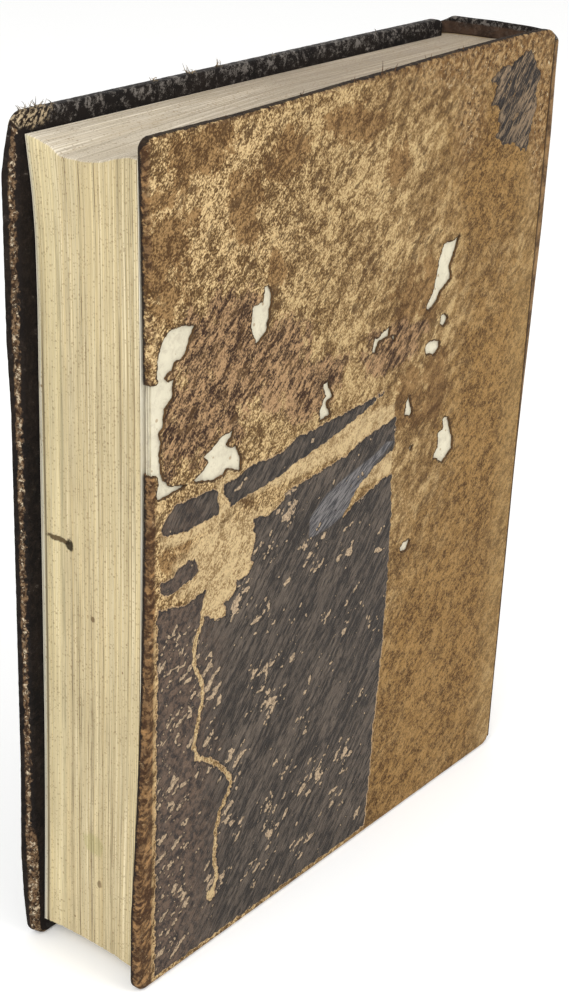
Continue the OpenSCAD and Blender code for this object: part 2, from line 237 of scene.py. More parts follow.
def make_speckle():
    """Scattered dots, one to a cell, of which only a share is kept."""
    group, entry, out = new_group("Speckle", Spacing=3.0, Size=0.2, Share=0.5)
    cells = put(group, "TexVoronoi", {"Vector": entry["Place"], "Scale": 1.0 / entry["Spacing"]}).outputs
    luck = put(group, "SeparateColor", {0: cells["Color"]}).outputs
    reach = entry["Size"] * (Mask(luck[1]) + 0.4)
    dot = Mask(cells["Distance"]).rise(reach, reach * 0.6)
    feed(group, out, dot * worked("LESS_THAN", Mask(luck[0]), entry["Share"]))
    return group


def make_streaks():
    """Noise drawn out along one direction. Turn leans it over, and Stretch scales each axis."""
    group, entry, out = new_group("Streaks", Turn=0.0, Stretch=(1, 1, 1), Low=0.4, High=0.6)
    leant = {"Vector": entry["Place"], "Angle": entry["Turn"]}
    leant = put(group, "VectorRotate", leant, rotation_type="X_AXIS").outputs[0]
    drawn = put(group, "VectorMath", {0: leant, 1: entry["Stretch"]}, operation="MULTIPLY").outputs[0]
    feed(group, out, clouds(drawn, 1.0, 4.0, 0.6).rise(entry["Low"], entry["High"]))
    return group


MOTTLE = make_mottle()
STAIN = make_stain()
SPECKLE = make_speckle()
STREAKS = make_streaks()


def effect(group, place, **inputs):
    """Places one of the groups above and gives its mask."""
    tree = place.id_data
    made = tree.nodes.new("ShaderNodeGroup")
    made.node_tree = group
    for name, value in {"Place": place, **inputs}.items():
        feed(tree, made.inputs[name.replace("_", " ")], value)
    return Mask(made.outputs[0])


def new_finish(name, roughness, gloss):
    """A material, and the place on the object in millimetres."""
    finish = bpy.data.materials.new(name)
    finish.use_nodes = True
    tree = finish.node_tree
    shader = tree.nodes["Principled BSDF"]
    shader.inputs["Roughness"].default_value = roughness
    shader.inputs["Specular IOR Level"].default_value = gloss
    spot = put(tree, "TexCoord").outputs["Object"]
    return finish, put(tree, "VectorMath", {0: spot, "Scale": 1 / MM}, operation="SCALE").outputs[0]


def painted(finish, colour, height=None, depth=0.0, roughness=None):
    """Gives a material its colour and, where given, its relief, depth millimetres high, and its sheen."""
    tree = finish.node_tree
    shader = tree.nodes["Principled BSDF"]
    feed(tree, shader.inputs["Base Color"], colour)
    if height is not None:
        bump = put(tree, "Bump", {"Height": height, "Strength": 1.0, "Distance": depth * MM})
        feed(tree, shader.inputs["Normal"], bump.outputs[0])
    if roughness is not None:
        feed(tree, shader.inputs["Roughness"], roughness)
    return finish


def of_vertex(place, name):
    """A number that the mesh holds at each vertex."""
    return Mask(put(place.id_data, "Attribute", attribute_name=name).outputs["Fac"])


def new_piece(name, points, faces, finishes, numbers=None, finish_of=None, crease=45):
    """A mesh object from points in millimetres. numbers are stored at its vertices."""
    mesh = bpy.data.meshes.new(name)
    mesh.from_pydata((np.asarray(points) * MM).tolist(), [], [tuple(int(i) for i in f) for f in faces])
    for label, values in (numbers or {}).items():
        mesh.attributes.new(label, "FLOAT", "POINT").data.foreach_set("value", np.asarray(values, np.float32))
    for finish in finishes:
        mesh.materials.append(finish)
    if finish_of is not None:
        mesh.polygons.foreach_set("material_index", np.asarray(finish_of, np.int32))
    mesh.polygons.foreach_set("use_smooth", [True] * len(mesh.polygons))
    mesh.set_sharp_from_angle(angle=math.radians(crease))
    mesh.validate()
    piece = bpy.data.objects.new(name, mesh)
    scene.collection.objects.link(piece)
    return piece


def box_of(node):
    """A CAD node's lowest and highest corners in millimetres."""
    low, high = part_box(node)
    return np.array(low) / MM, np.array(high) / MM


def face_outlines(node, axis, at):
    """Outlines of a CAD node's flat faces that lie at one height on an axis, largest first."""
    others = [i for i in range(3) if i != axis]
    mesh = bmesh.new()
    mesh.from_mesh(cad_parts[node].data)
    bmesh.ops.remove_doubles(mesh, verts=mesh.verts, dist=1e-6)
    flat = {f for f in mesh.faces if all(abs(v.co[axis] / MM - at) < 0.02 for v in f.verts)}
    after = {}
    for face in flat:
        for corner in face.loops:
            if sum(f in flat for f in corner.edge.link_faces) == 1:
                after[corner.vert] = corner.link_loop_next.vert
    outlines = []
    while after:
        first = next(iter(after))
        run = [first]
        while after[run[-1]] is not first:
            run.append(after[run[-1]])
        for vert in run:
            del after[vert]
        outlines.append(np.array([[v.co[i] / MM for i in others] for v in run]))
    mesh.free()
    return sorted(outlines, key=lambda o: -np.ptp(o, axis=0).prod())


def tube_faces(rings, size, start=0, capped=True):
    """Faces of a tube: quads between rings of size points each, and a face over each end."""
    last = start + (rings - 1) * size
    quads = [(a + j, a + (j + 1) % size, a + size + (j + 1) % size, a + size + j)
             for a in range(start, last, size) for j in range(size)]
    ends = [tuple(range(start + size - 1, start - 1, -1)), tuple(range(last, last + size))]
    return quads + ends if capped else quads


LEAF_STEP = 0.3
FORE_ROWS, HEAD_ROWS, TAIL_ROWS = 70, 80, 16
FORE_HOLLOW, FORE_BOW = 1.2, 2.0
# How unevenly the leaves were cut: a few swell together, each strays a little, and some stand proud
SWELL_LEAVES, LEAF_SWELL = 9, 0.12
LEAF_STRAY, LEAF_LIFT, LEAF_DRIFT = 0.07, 0.06, 0.12
PROUD_SHARE, PROUD = 0.07, (0.15, 0.3)
DIP_LENGTH = 90.0
# How deep the head has sunk at the fore-edge, at places across the leaves from the far side
DIP_PLACES = (-18.0, -15.0, -11.3, -8.5, -4.2, -0.7, 2.8, 6.3, 9.9, 14.8, 18.0)
DIP_DEPTHS = (0.3, 0.9, 2.4, 4.2, 4.4, 4.35, 3.9, 3.2, 1.9, 0.4, 0.3)
# The leaves have sunk less at the near joint, and their tail has lifted at the fore-edge
HEAD_SWELL = 2.0
FOOT_RISE, FOOT_REACH = 1.8, 60.0
# How far the far leaves stand back at the fore-edge, at heights from the tail
DRAWN_HEIGHTS = (0.0, 120.0, 150.0, 180.0, 200.0, 218.0, 230.0, 238.0, 245.0)
DRAWN_BACK = (0.0, 0.0, 0.2, 0.6, 1.1, 1.2, 0.6, -0.3, -1.0)


def make_leaves():
    """Columns of points side by side, each an outline of the block in Y and Z at its own leaf. Behind
    the joints the folds swell over the boards, so the outermost columns are only as deep as the swelling."""
    low, high = box_of("leaves")
    tail_outline = face_outlines("leaves", 2, low[2])[0]
    half = tail_outline[tail_outline[:, 1] < 0, 0].max()
    joint_y = tail_outline[tail_outline[:, 0] > half + 2, 1].min()
    spine_side = tail_outline[tail_outline[:, 1] > joint_y + 0.3]
    spine_side = spine_side[np.argsort(spine_side[:, 0])]
    middle_z, half_z = (low[2] + high[2]) / 2, (high[2] - low[2]) / 2
    dice = random.Random(7)
    shoulder = [0.05, *(spine_side[spine_side[:, 0] > half + 0.3, 0] - half)]
    places = [*(-half - w for w in reversed(shoulder)),
              *np.linspace(-half, half, int(round(2 * half / LEAF_STEP)) + 1), *(half + w for w in shoulder)]
    points, tones = [], []
    swell = 0.0
    for i, x in enumerate(places):
        folded = abs(x) > half + 0.01
        if i % SWELL_LEAVES == 0:
            swell = dice.uniform(-LEAF_SWELL, LEAF_SWELL)
        out = swell + dice.uniform(-LEAF_STRAY, LEAF_STRAY)
        if dice.random() < PROUD_SHARE:
            out += dice.uniform(*PROUD)
        tone = dice.random()
        lift = 0.5 * swell + dice.uniform(-LEAF_LIFT, LEAF_LIFT)
        across_x = x / half
        hollow = FORE_HOLLOW * (1 - across_x ** 2)
        sunk = float(np.interp(x, DIP_PLACES, DIP_DEPTHS))
        fore_z = np.linspace(low[2] + 0.1 + FOOT_RISE, high[2] - sunk - 0.6 + lift * 0.5, FORE_ROWS)
        bow = FORE_BOW * (1 - ((fore_z - middle_z) / half_z) ** 2)
        drift = np.array([LEAF_DRIFT * noise.noise(Vector((x * 0.4, z * 0.02, 3.0))) for z in fore_z])
        fore_y = low[1] + np.maximum(hollow, bow) + np.maximum(out + drift, -0.2)
        fore_y = fore_y + np.interp(fore_z, DRAWN_HEIGHTS, DRAWN_BACK) * (1 - across_x) / 2
        spine_y = float(np.interp(x, spine_side[:, 0], spine_side[:, 1]))
        if folded:
            top = high[2] - 0.7 + lift * 0.5 + HEAD_SWELL * (x > 0)
            fore_z = np.linspace(low[2] + 0.1, top, FORE_ROWS)
            fore_y = np.full(FORE_ROWS, joint_y)
        share = np.linspace(0, 1, HEAD_ROWS) ** 1.5
        start_y = min(fore_y[-1] + 0.5, spine_y - 0.3)
        head_y = start_y + (spine_y - 0.2 - start_y) * share
        dip = sunk * np.maximum(1 - (head_y - low[1]) / DIP_LENGTH, 0)
        swollen = HEAD_SWELL * np.clip((x + 6) / 24, 0, 1) * np.clip((head_y - 20) / 70, 0, 1)
        head = np.stack([head_y, high[2] - 0.1 + lift * 0.5 - dip + swollen], 1)
        fore = np.stack([fore_y, fore_z], 1)
        foot_y = np.linspace(spine_y - 0.2, min(fore_y[0] + 0.4, spine_y - 0.3), TAIL_ROWS)
        lifted = FOOT_RISE * np.clip(1 - (foot_y - low[1] - 2) / FOOT_REACH, 0, 1)
        foot = np.stack([foot_y, low[2] + max(lift, 0) + lifted], 1)
        column = np.vstack([foot, fore, head])
        points += [(x, y, z) for y, z in column]
        tones += [tone] * len(column)
    return points, tube_faces(len(places), TAIL_ROWS + FORE_ROWS + HEAD_ROWS), tones


def leaf_finish():
    """Yellowed cut paper: lines from leaf to leaf, brown sprinkles, a greyer head and two stains."""
    finish, place = new_finish("leaf_edges", 0.85, 0.15)
    tone = of_vertex(place, "tone")
    x, y, z = axes(place)
    normal = facing(place)
    colour = layer(tone, (0.68, 0.56, 0.32), (0.5, 0.395, 0.215))
    fine = effect(STREAKS, place, Stretch=(3.6, 0.012, 0.012), Low=0.44, High=0.6)
    colour = layer(0.6 * fine, colour, (0.8, 0.7, 0.47))
    gaps = effect(STREAKS, place, Stretch=(2.6, 0.005, 0.005), Low=0.545, High=0.585)
    broken = effect(STREAKS, place, Stretch=(0.9, 0.05, 0.05), Low=0.3, High=0.62)
    gaps = gaps * broken
    bright = x.rise(-8.0, -12.0)
    gaps = gaps * (1.0 - 0.6 * bright)
    colour = layer(0.85 * gaps, colour, (0.2, 0.15, 0.08))
    pressed = x.rise(-9.5, -9.8) * x.rise(-10.9, -10.5)
    colour = layer(0.5 * (pressed * broken), colour, (0.16, 0.135, 0.08))
    colour = layer(0.28 * bright, colour, (0.8, 0.69, 0.4))
    loose = x.rise(-17.2, -17.4)
    loose_tone = layer(z.rise(175.0, 215.0), (0.66, 0.62, 0.5), (0.78, 0.7, 0.48))
    colour = layer(0.8 * loose, colour, loose_tone)
    # A dark line is painted where the outer leaf parts from the block below the head: painted shade in the
    # gap between them.
    parted_gap_shade = x.rise(-16.5, -16.7) * x.rise(-17.2, -17.0) * z.rise(215.0, 175.0)
    colour = layer(0.8 * parted_gap_shade, colour, (0.09, 0.07, 0.04))
    on_head = normal[2].rise(0.45, 0.8)
    far_grey = layer(fine, (0.32, 0.265, 0.2), (0.55, 0.46, 0.35))
    near_grey = layer(fine, (0.55, 0.47, 0.35), (0.84, 0.76, 0.62))
    grey = layer(y.rise(20.0, -105.0), far_grey, near_grey)
    grey = layer(0.5 * gaps, grey, (0.24, 0.185, 0.125))
    colour = layer(on_head, colour, grey)
    dust = effect(MOTTLE, place, Size=14.0, Share=0.42, Soft=0.2)
    colour = layer(0.2 * dust, colour, (0.42, 0.33, 0.19))
    for spacing, size, share, strength in ((0.6, 0.42, 0.34, 0.42), (1.1, 0.3, 0.36, 0.42),
                                           (2.4, 0.14, 0.22, 0.5), (9.0, 0.05, 0.4, 0.8)):
        dots = effect(SPECKLE, place, Spacing=spacing, Size=size, Share=share)
        colour = layer(strength * dots, colour, (0.23, 0.14, 0.065))
    for centre, reach, strength, shade in (((-12.0, -95.0, 134.3), (4.6, 9.0, 0.9), 0.9,
                                            (0.075, 0.042, 0.015)),
                                           ((-7.7, -95.0, 133.6), (1.5, 9.0, 1.8), 0.95,
                                            (0.028, 0.018, 0.008)),
                                           ((1.0, -95.0, 41.0), (4.0, 9.0, 3.6), 0.4, (0.36, 0.33, 0.13)),
                                           ((0.8, -95.0, 114.0), (0.8, 9.0, 0.9), 0.8, (0.12, 0.07, 0.03)),
                                           ((3.4, -95.0, 28.0), (0.9, 9.0, 1.2), 0.7, (0.16, 0.1, 0.05))):
        spot = effect(STAIN, place, Centre=centre, Reach=reach, Fray=1.3, Fray_Size=1.1, Soft=0.2)
        colour = layer(spot * strength, colour, shade)
    return painted(finish, colour, fine, 0.12)


leaf_points, leaf_faces, leaf_tones = make_leaves()
leaves = new_piece("leaf_block", leaf_points, leaf_faces, [leaf_finish()], {"tone": leaf_tones}, crease=70)
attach(leaves, "text_block")
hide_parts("leaves")


# Flyleaves: one loose leaf of each endpaper, between the leaves and the cover. They cockle with damp,
# so each stands a little off the block except along the joint, where it is tipped on.
FLY_THICK = 0.2
FLY_STEP = 4.0
FLY_COCKLE = 0.11
FLY_WORN = 0.5


def paper_finish(name, light, dark, seed):
    """Aged paper: broad yellow clouds, brown spots and fibres, with darker dusty edges."""
    finish, place = new_finish(name, 0.85, 0.15)
    shift = {0: place, 1: (seed, seed, seed)}
    place = put(place.id_data, "VectorMath", shift, operation="ADD").outputs[0]
    colour = layer(effect(MOTTLE, place, Size=40.0, Share=0.5, Soft=0.25), light, dark)
    foxing = effect(SPECKLE, place, Spacing=9.0, Size=0.16, Share=0.35)
    colour = layer(foxing * 0.6, colour, (0.3, 0.19, 0.09))
    fibres = effect(STREAKS, place, Stretch=(0.4, 0.4, 1.6), Low=0.35, High=0.7)
    colour = layer(fibres * 0.2, colour, dark)
    return painted(finish, colour, fibres, 0.04)


FLY_PAPER = paper_finish("flyleaf_paper", (0.76, 0.72, 0.60), (0.64, 0.57, 0.42), 0.0)


def make_flyleaf(node, name, side, seed):
    """A thin closed sheet that waves across its thickness, a grid on each face."""
    low, high = box_of(node)
    outer = high[0] if side > 0 else -low[0]
    middle_z, half_z = (low[2] + high[2]) / 2, (high[2] - low[2]) / 2
    top = high[2] - FLY_WORN
    columns = int((high[1] - low[1]) / FLY_STEP)
    rows = int((high[2] - low[2]) / FLY_STEP)
    points, faces = [], []
    for depth in (0.0, FLY_THICK):
        for i in range(columns + 1):
            for j in range(rows + 1):
                foot = low[2] + FOOT_RISE * max(0.0, 1 - 3 * i / columns)
                z = foot + (top - foot) * j / rows
                start = low[1] + FORE_BOW * (1 - ((z - middle_z) / half_z) ** 2)
                start += float(np.interp(z, DRAWN_HEIGHTS, DRAWN_BACK)) * (side < 0)
                y = start + (high[1] - start) * i / columns
                loose = max(0.0, 1 - i / columns)
                wave = FLY_COCKLE * loose * (noise.noise(Vector((y / 30, z / 35, seed))) - 0.6)
                points.append((side * (outer - depth + wave), y, z))
    face_count = (columns + 1) * (rows + 1)

    def at(i, j, behind):
        return behind * face_count + i * (rows + 1) + j

    for i in range(columns):
        for j in range(rows):
            faces.append((at(i, j, 0), at(i + 1, j, 0), at(i + 1, j + 1, 0), at(i, j + 1, 0)))
            faces.append((at(i, j, 1), at(i, j + 1, 1), at(i + 1, j + 1, 1), at(i + 1, j, 1)))
    for i in range(columns):
        faces.append((at(i, 0, 0), at(i, 0, 1), at(i + 1, 0, 1), at(i + 1, 0, 0)))
        faces.append((at(i, rows, 0), at(i + 1, rows, 0), at(i + 1, rows, 1), at(i, rows, 1)))
    for j in range(rows):
        faces.append((at(0, j, 0), at(0, j + 1, 0), at(0, j + 1, 1), at(0, j, 1)))
        faces.append((at(columns, j, 0), at(columns, j, 1), at(columns, j + 1, 1), at(columns, j + 1, 0)))
    if side < 0:
        faces = [tuple(reversed(face)) for face in faces]
    piece = new_piece(name, points, faces, [FLY_PAPER])
    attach(piece, "text_block")
    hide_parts(node)


make_flyleaf("front_flyleaf", "far_flyleaf", -1, 1.5)
make_flyleaf("back_flyleaf", "near_flyleaf", 1, 8.5)


# Back cover: tan calf over pasteboard. The skin was pasted on, drawn round three edges and turned in.
# It has since lost its dark grain, and here and there its whole thickness, so the board shows.
BARE_THICK = 0.56
RIM_STEP = 1.0
EDGE_ROUND, INNER_ROUND = 0.9, 0.5
FLAT_INSET = 2.0
TURN_IN = 15.0
JOINT_REACH = 3.2
JOINT_SHARES = (0.05, 0.2, 0.5)
CORNER_WIDE, CORNER_FADE = 3.4, 25.0
HEAD_CORNER, TAIL_CORNER = 1.6, 2.6
# How far the back cover's head edge has crept up, at places from the fore-edge
CREEP_PLACES = (-60.0, -37.0, -12.0, 6.0, 26.0, 40.0, 65.0, 80.0, 90.0)
CREEP = (0.0, 0.5, 1.2, 1.5, 2.1, 2.4, 2.7, 2.6, 2.2)
CREEP_REACH = 18.0
# The front cover's fore-edge is swollen and splayed outwards, by shares at heights from the tail
SWELL, SPLAY = 1.15, 3.0
SWELL_HEIGHTS = (0.0, 5.0, 15.0, 30.0, 45.0, 60.0, 170.0, 190.0, 234.0, 240.0, 246.0, 250.0)
SWELL_SHARES = (0.3, 0.5, 0.75, 0.9, 0.8, 0.7, 0.7, 0.95, 1.0, 0.7, 0.3, 0.0)
SWELL_REACH, SPLAY_REACH = 30.0, 12.0


def inside(points, outline):
    """Which of the points lie within a closed outline."""
    odd = np.zeros(len(points), bool)
    for (x0, y0), (x1, y1) in zip(outline, np.roll(outline, -1, axis=0)):
        if y0 != y1:
            reach = x0 + (points[:, 1] - y0) * (x1 - x0) / (y1 - y0)
            odd ^= ((y0 > points[:, 1]) != (y1 > points[:, 1])) & (points[:, 0] < reach)
    return odd


def distance(points, outline):
    """How far each point is from a closed outline."""
    best = np.full(len(points), 1e9)
    for start, end in zip(outline, np.roll(outline, -1, axis=0)):
        along = end - start
        share = np.clip((points - start) @ along / max(along @ along, 1e-9), 0, 1)
        best = np.minimum(best, np.hypot(*(points - start - share[:, None] * along).T))
    return best


def respaced(path, step, closed=False):
    """Points at even steps along a path."""
    run = np.vstack([path, path[:1]]) if closed else path
    lengths = np.concatenate([[0], np.cumsum(np.hypot(*np.diff(run, axis=0).T))])
    count = max(int(round(lengths[-1] / step)), 8)
    marks = np.linspace(0, lengths[-1], count + 1)
    marks = marks[:-1] if closed else marks
    return np.stack([np.interp(marks, lengths, run[:, i]) for i in (0, 1)], 1)


def torn(outline, step=0.45, rag=0.45, size=1.6, seed=0.0):
    """A torn outline: points at even steps, eased once at the corners and shifted by noise in three sizes."""
    even = respaced(outline, step, closed=True)
    even = even * 0.5 + (np.roll(even, 1, axis=0) + np.roll(even, -1, axis=0)) * 0.25
    for reach, width in ((rag, size), (rag * 0.6, size / 2.6), (rag * 0.3, size / 5.5)):
        shift = [noise.noise_vector(Vector((y / width, z / width, seed))) for y, z in even]
        even = even + reach * np.array([[v.x, v.y] for v in shift])
    return even


def lattice(outline, step):
    """Points in rows inside an outline, clear of its edge."""
    low, high = outline.min(axis=0), outline.max(axis=0)
    rows = np.arange(low[1] + step, high[1], step * 0.87)
    points = np.array([[y + (k % 2) * step / 2, z] for k, z in enumerate(rows)
                       for y in np.arange(low[0] + step / 2, high[0], step)])
    points += 0.18 * step * np.array([[noise.noise(Vector((y * 3.1, z * 3.3, 1))), noise.noise(
        Vector((y * 3.1, z * 3.3, 7)))] for y, z in points])
    points = points[inside(points, outline)]
    return points[distance(points, outline) > 0.5 * step]


def filled(outline, holes=(), extra=()):
    """Triangulates an outline with holes in it, through extra points."""
    loops = [outline, *holes]
    points = np.vstack([*loops, *[e for e in extra if len(e)]])
    edges, start = [], 0
    for loop in loops:
        edges += [(start + i, start + (i + 1) % len(loop)) for i in range(len(loop))]
        start += len(loop)
    corners, _, triangles, *_ = geometry.delaunay_2d_cdt([Vector(p) for p in points], edges, [], 0, 1e-5)
    corners, triangles = np.array([tuple(c) for c in corners]), np.array([tuple(t) for t in triangles])
    middles = corners[triangles].mean(axis=1)
    keep = inside(middles, outline)
    for hole in holes:
        keep &= ~inside(middles, hole)
    triangles = triangles[keep]
    used, triangles = np.unique(triangles, return_inverse=True)
    return corners[used], triangles.reshape(-1, 3)


def edge_shape(reach, thick):
    """How far in from the cover's outline, and how deep below its face, the leather lies at each reach
    over the edge. It runs flat, round the arris, down the edge, round again and in as the turn-in."""
    quarter = np.radians(np.linspace(0, 90, 5))
    flat = FLAT_INSET - EDGE_ROUND
    rows = [(0, FLAT_INSET, 0)]
    rows += [(flat + EDGE_ROUND * a, EDGE_ROUND * (1 - math.sin(a)), EDGE_ROUND * (1 - math.cos(a)))
             for a in quarter]
    start = rows[-1][0] + thick - EDGE_ROUND - INNER_ROUND
    rows += [(start + INNER_ROUND * a, INNER_ROUND * (1 - math.cos(a)),
              thick - INNER_ROUND * (1 - math.sin(a))) for a in quarter]
    rows.append((rows[-1][0] + TURN_IN - INNER_ROUND, TURN_IN, thick))
    table = np.array(rows)
    inset, drop = (np.interp(reach, table[:, 0], table[:, i]) for i in (1, 2))
    return inset, drop, table[-1, 0]


def free_rim(board, side):
    """A board's outline from the joint at the head, down the fore-edge, to the joint at the tail."""
    low, high = box_of(board)
    outline = face_outlines(board, 0, high[0] if side > 0 else low[0])[0]
    if side < 0:
        outline = outline[::-1]
    at_joint = outline[:, 0] > high[1] - JOINT_REACH
    first = next(i for i in range(len(outline)) if at_joint[i - 1] and not at_joint[i])
    path = np.roll(outline, -first, axis=0)[:(~at_joint).sum()]
    path = np.vstack([[high[1], path[0, 1]], path, [high[1], path[-1, 1]]])
    path = respaced(path, RIM_STEP)
    start = [path[0] + share * (path[1] - path[0]) for share in JOINT_SHARES]
    end = [path[-1] + share * (path[-2] - path[-1]) for share in reversed(JOINT_SHARES)]
    return np.vstack([path[:1], start, path[1:-1], end, path[-1:]])


def rounded_off(y, z, low, high, side):
    """Heights on a cover whose corners at the joint are rounded off by wear. The back cover's head edge
    has crept up besides."""
    near = np.clip((y - high[1]) / CORNER_WIDE + 1, 0, 1)
    fall = 1 - np.sqrt(1 - near ** 2)
    to_head = np.clip(1 - (high[2] - z) / CORNER_FADE, 0, 1)
    to_tail = np.clip(1 - (z - low[2]) / CORNER_FADE, 0, 1)
    crept = np.interp(y, CREEP_PLACES, CREEP) * np.clip(1 - (high[2] - z) / CREEP_REACH, 0, 1) * (side > 0)
    return z + crept - fall * (HEAD_CORNER * to_head - TAIL_CORNER * to_tail)


def way_out(along):
    """The unit direction to the right of each step of a path."""
    return np.stack([along[:, 1], -along[:, 0]], 1) / np.hypot(*along.T)[:, None]


def onto_rim(points, path):
    """The place on the path that is nearest to each point: how far beyond it the point lies, the place
    and the way out."""
    out = way_out(np.gradient(path, axis=0))
    best = np.full(len(points), 1e9)
    place, way = np.zeros_like(points), np.zeros_like(points)
    for i in range(len(path) - 1):
        step = path[i + 1] - path[i]
        share = np.clip((points - path[i]) @ step / (step @ step), 0, 1)[:, None]
        spot = path[i] + share * step
        away = np.hypot(*(points - spot).T)
        closer = away < best
        best[closer] = away[closer]
        place[closer] = spot[closer]
        way[closer] = (out[i] * (1 - share) + out[i + 1] * share)[closer]
    way /= np.hypot(*way.T)[:, None]
    return ((points - place) * way).sum(axis=1), place, way


def thickened(points, faces, thick):
    """Closes a sheet: the same faces again behind it, and walls along its open edges."""
    normals = np.zeros_like(points)
    first, second, third = (points[faces[:, i]] for i in range(3))
    flow = np.cross(second - first, third - first)
    for i in range(3):
        np.add.at(normals, faces[:, i], flow)
    normals /= np.maximum(np.linalg.norm(normals, axis=1), 1e-12)[:, None]
    behind = points - normals * np.asarray(thick)[:, None]
    directed = {(int(a), int(b)) for f in faces for a, b in ((f[0], f[1]), (f[1], f[2]), (f[2], f[0]))}
    count = len(points)
    walls = [(b, a, a + count, b + count) for a, b in sorted(directed) if (b, a) not in directed]
    faces = [*map(tuple, faces), *[tuple(f[::-1] + count) for f in faces], *walls]
    return np.vstack([points, behind]), faces, len(walls)


def rough(spots, size, seed):
    """Smooth noise at each place in a plane."""
    return np.array([noise.noise(Vector((y / size, z / size, seed))) for y, z in spots])


def skin_lift(spots):
    """The leather's gentle rise and fall over the board."""
    return 0.07 * rough(spots, 24, 0) + 0.035 * rough(spots, 5, 4)


# How far over the edge each ring of points lies, close together where the leather bends
RING_REACHES = (0, 0.6, 1.1, 1.45, 1.8, 2.15, 2.51, 3.0, 3.5, 4.0, 4.3, 4.57, 4.85, 5.2, 8, 13)
JOINT_POINTS = 160
TURNED_THICK, DARK_EXTRA = 0.34, 0.2


def wrapped_leather(board, leather, side, holes=(), notch=None, step=1.5, seed=0.0):
    """Points, faces and vertex numbers of a cover's leather, laid out flat, filled, and then wrapped
    round its board. The numbers are the reach over the edge and the distance from a tear."""
    low, high = box_of(leather)
    face_x = high[0] if side > 0 else -low[0]
    thick = high[0] - low[0]
    flesh = box_of(board)[0][2] - low[2]
    path = free_rim(board, side)
    out = way_out(np.gradient(path, axis=0))
    _, _, last = edge_shape(np.zeros(1), thick)
    to_flat = flesh - FLAT_INSET
    rings = [path + out * (to_flat + reach) for reach in (*RING_REACHES, last)]
    joint_z = np.linspace(rings[-1][-1, 1], rings[-1][0, 1], JOINT_POINTS + 2)[1:-1]
    outer = np.vstack([rings[-1], np.stack([np.full(JOINT_POINTS, high[1]), joint_z], 1)])
    face = lattice(np.vstack([rings[0], [[high[1], rings[0][-1, 1]], [high[1], rings[0][0, 1]]]]), step)
    cuts = [*holes, *([notch] if notch is not None else [])]
    clear = np.full(len(face), True)
    for cut in cuts:
        clear &= (distance(face, cut) > 0.45 * step) & ~inside(face, cut)
    extra = [face[clear]]
    for ring in rings[:-1]:
        if notch is not None:
            ring = ring[(distance(ring, notch) > 0.3) & ~inside(ring, notch)]
        extra.append(ring)
    for cut in cuts:
        for grown in (0.5, 1.1):
            near = respaced(cut, 0.9, closed=True)
            outward = way_out(near - np.roll(near, 1, axis=0))
            halo = near + outward * grown
            halo = halo[~inside(halo, cut) & (distance(halo, cut) > 0.35 * grown)]
            if len(halo):
                extra.append(halo[inside(halo, rings[1]) | (halo[:, 0] > low[1] + 6)])
    flat, faces = filled(outer, cuts, extra)
    beyond, place, way = onto_rim(flat, path)
    reach = np.maximum(beyond - to_flat, 0)
    inset, drop, _ = edge_shape(reach, thick)
    wrapped = place + way * (flesh - inset)[:, None]
    over = reach > 0
    y = np.where(over, wrapped[:, 0], flat[:, 0])
    z = np.where(over, wrapped[:, 1], flat[:, 1])
    left = path[path[:, 0] < low[1] + 12]
    order = np.argsort(left[:, 1])
    turned = (inset > FLAT_INSET + 0.01) & over
    fore = np.interp(z, left[order, 1], left[order, 0]) - flesh
    y = np.where(turned, np.maximum(y, fore + inset), y)
    z = np.where(turned, np.clip(z, low[2] + inset, high[2] - inset), z)
    tear = np.full(len(flat), 9.0)
    for cut in cuts:
        tear = np.minimum(tear, distance(flat, cut))
    spots = np.stack([y, z], 1)
    lift = skin_lift(spots + (0, seed))
    curl = np.maximum(0.5 + rough(spots, 2.5, 9), 0)
    lift = np.where(turned, 0, lift + 0.2 * curl * np.exp(-tear / 0.6))
    if side < 0:
        lift = np.minimum(lift, 0.02 * (high[1] - y) - 0.06)
    worn = np.where((reach > 0.9) & ~turned, 0.10 * rough(spots, 1.7, 2 + seed), 0)
    x = face_x - drop + lift * (reach < 1.2)
    drawn_in = ((0.05 - worn) * over * ~turned)[:, None] * way
    y, z = y - drawn_in[:, 0], z - drawn_in[:, 1]
    if side < 0:
        outer_share = np.clip(1 - drop / thick, 0, 1) * np.interp(z, SWELL_HEIGHTS, SWELL_SHARES)
        from_fore = y - low[1]
        x = x + SWELL * outer_share * np.clip(1 - from_fore / SWELL_REACH, 0, 1) ** 2
        y = y - SPLAY * outer_share * np.clip(1 - from_fore / SPLAY_REACH, 0, 1)
    points = np.stack([x, y, rounded_off(y, z, low, high, side)], 1)
    depth = np.where(turned, TURNED_THICK, BARE_THICK + DARK_EXTRA * (side < 0))
    points, faces, walls = thickened(points, faces, depth)
    if side < 0:
        points[:, 0] *= -1
        faces = [face[::-1] for face in faces]
    return points, faces, walls, {"reach": np.tile(reach, 2), "tear": np.tile(tear, 2)}


def counter_clockwise(outline):
    """The same outline, turned round where it runs clockwise."""
    area = np.sum(outline[:, 0] * np.roll(outline[:, 1], -1) - np.roll(outline[:, 0], -1) * outline[:, 1])
    return outline if area > 0 else outline[::-1]


NOTCH_Y, NOTCH_LOW, NOTCH_HIGH = -70, 145, 215
NOTCH_BEYOND, NOTCH_EASE = 0.5, 0.3


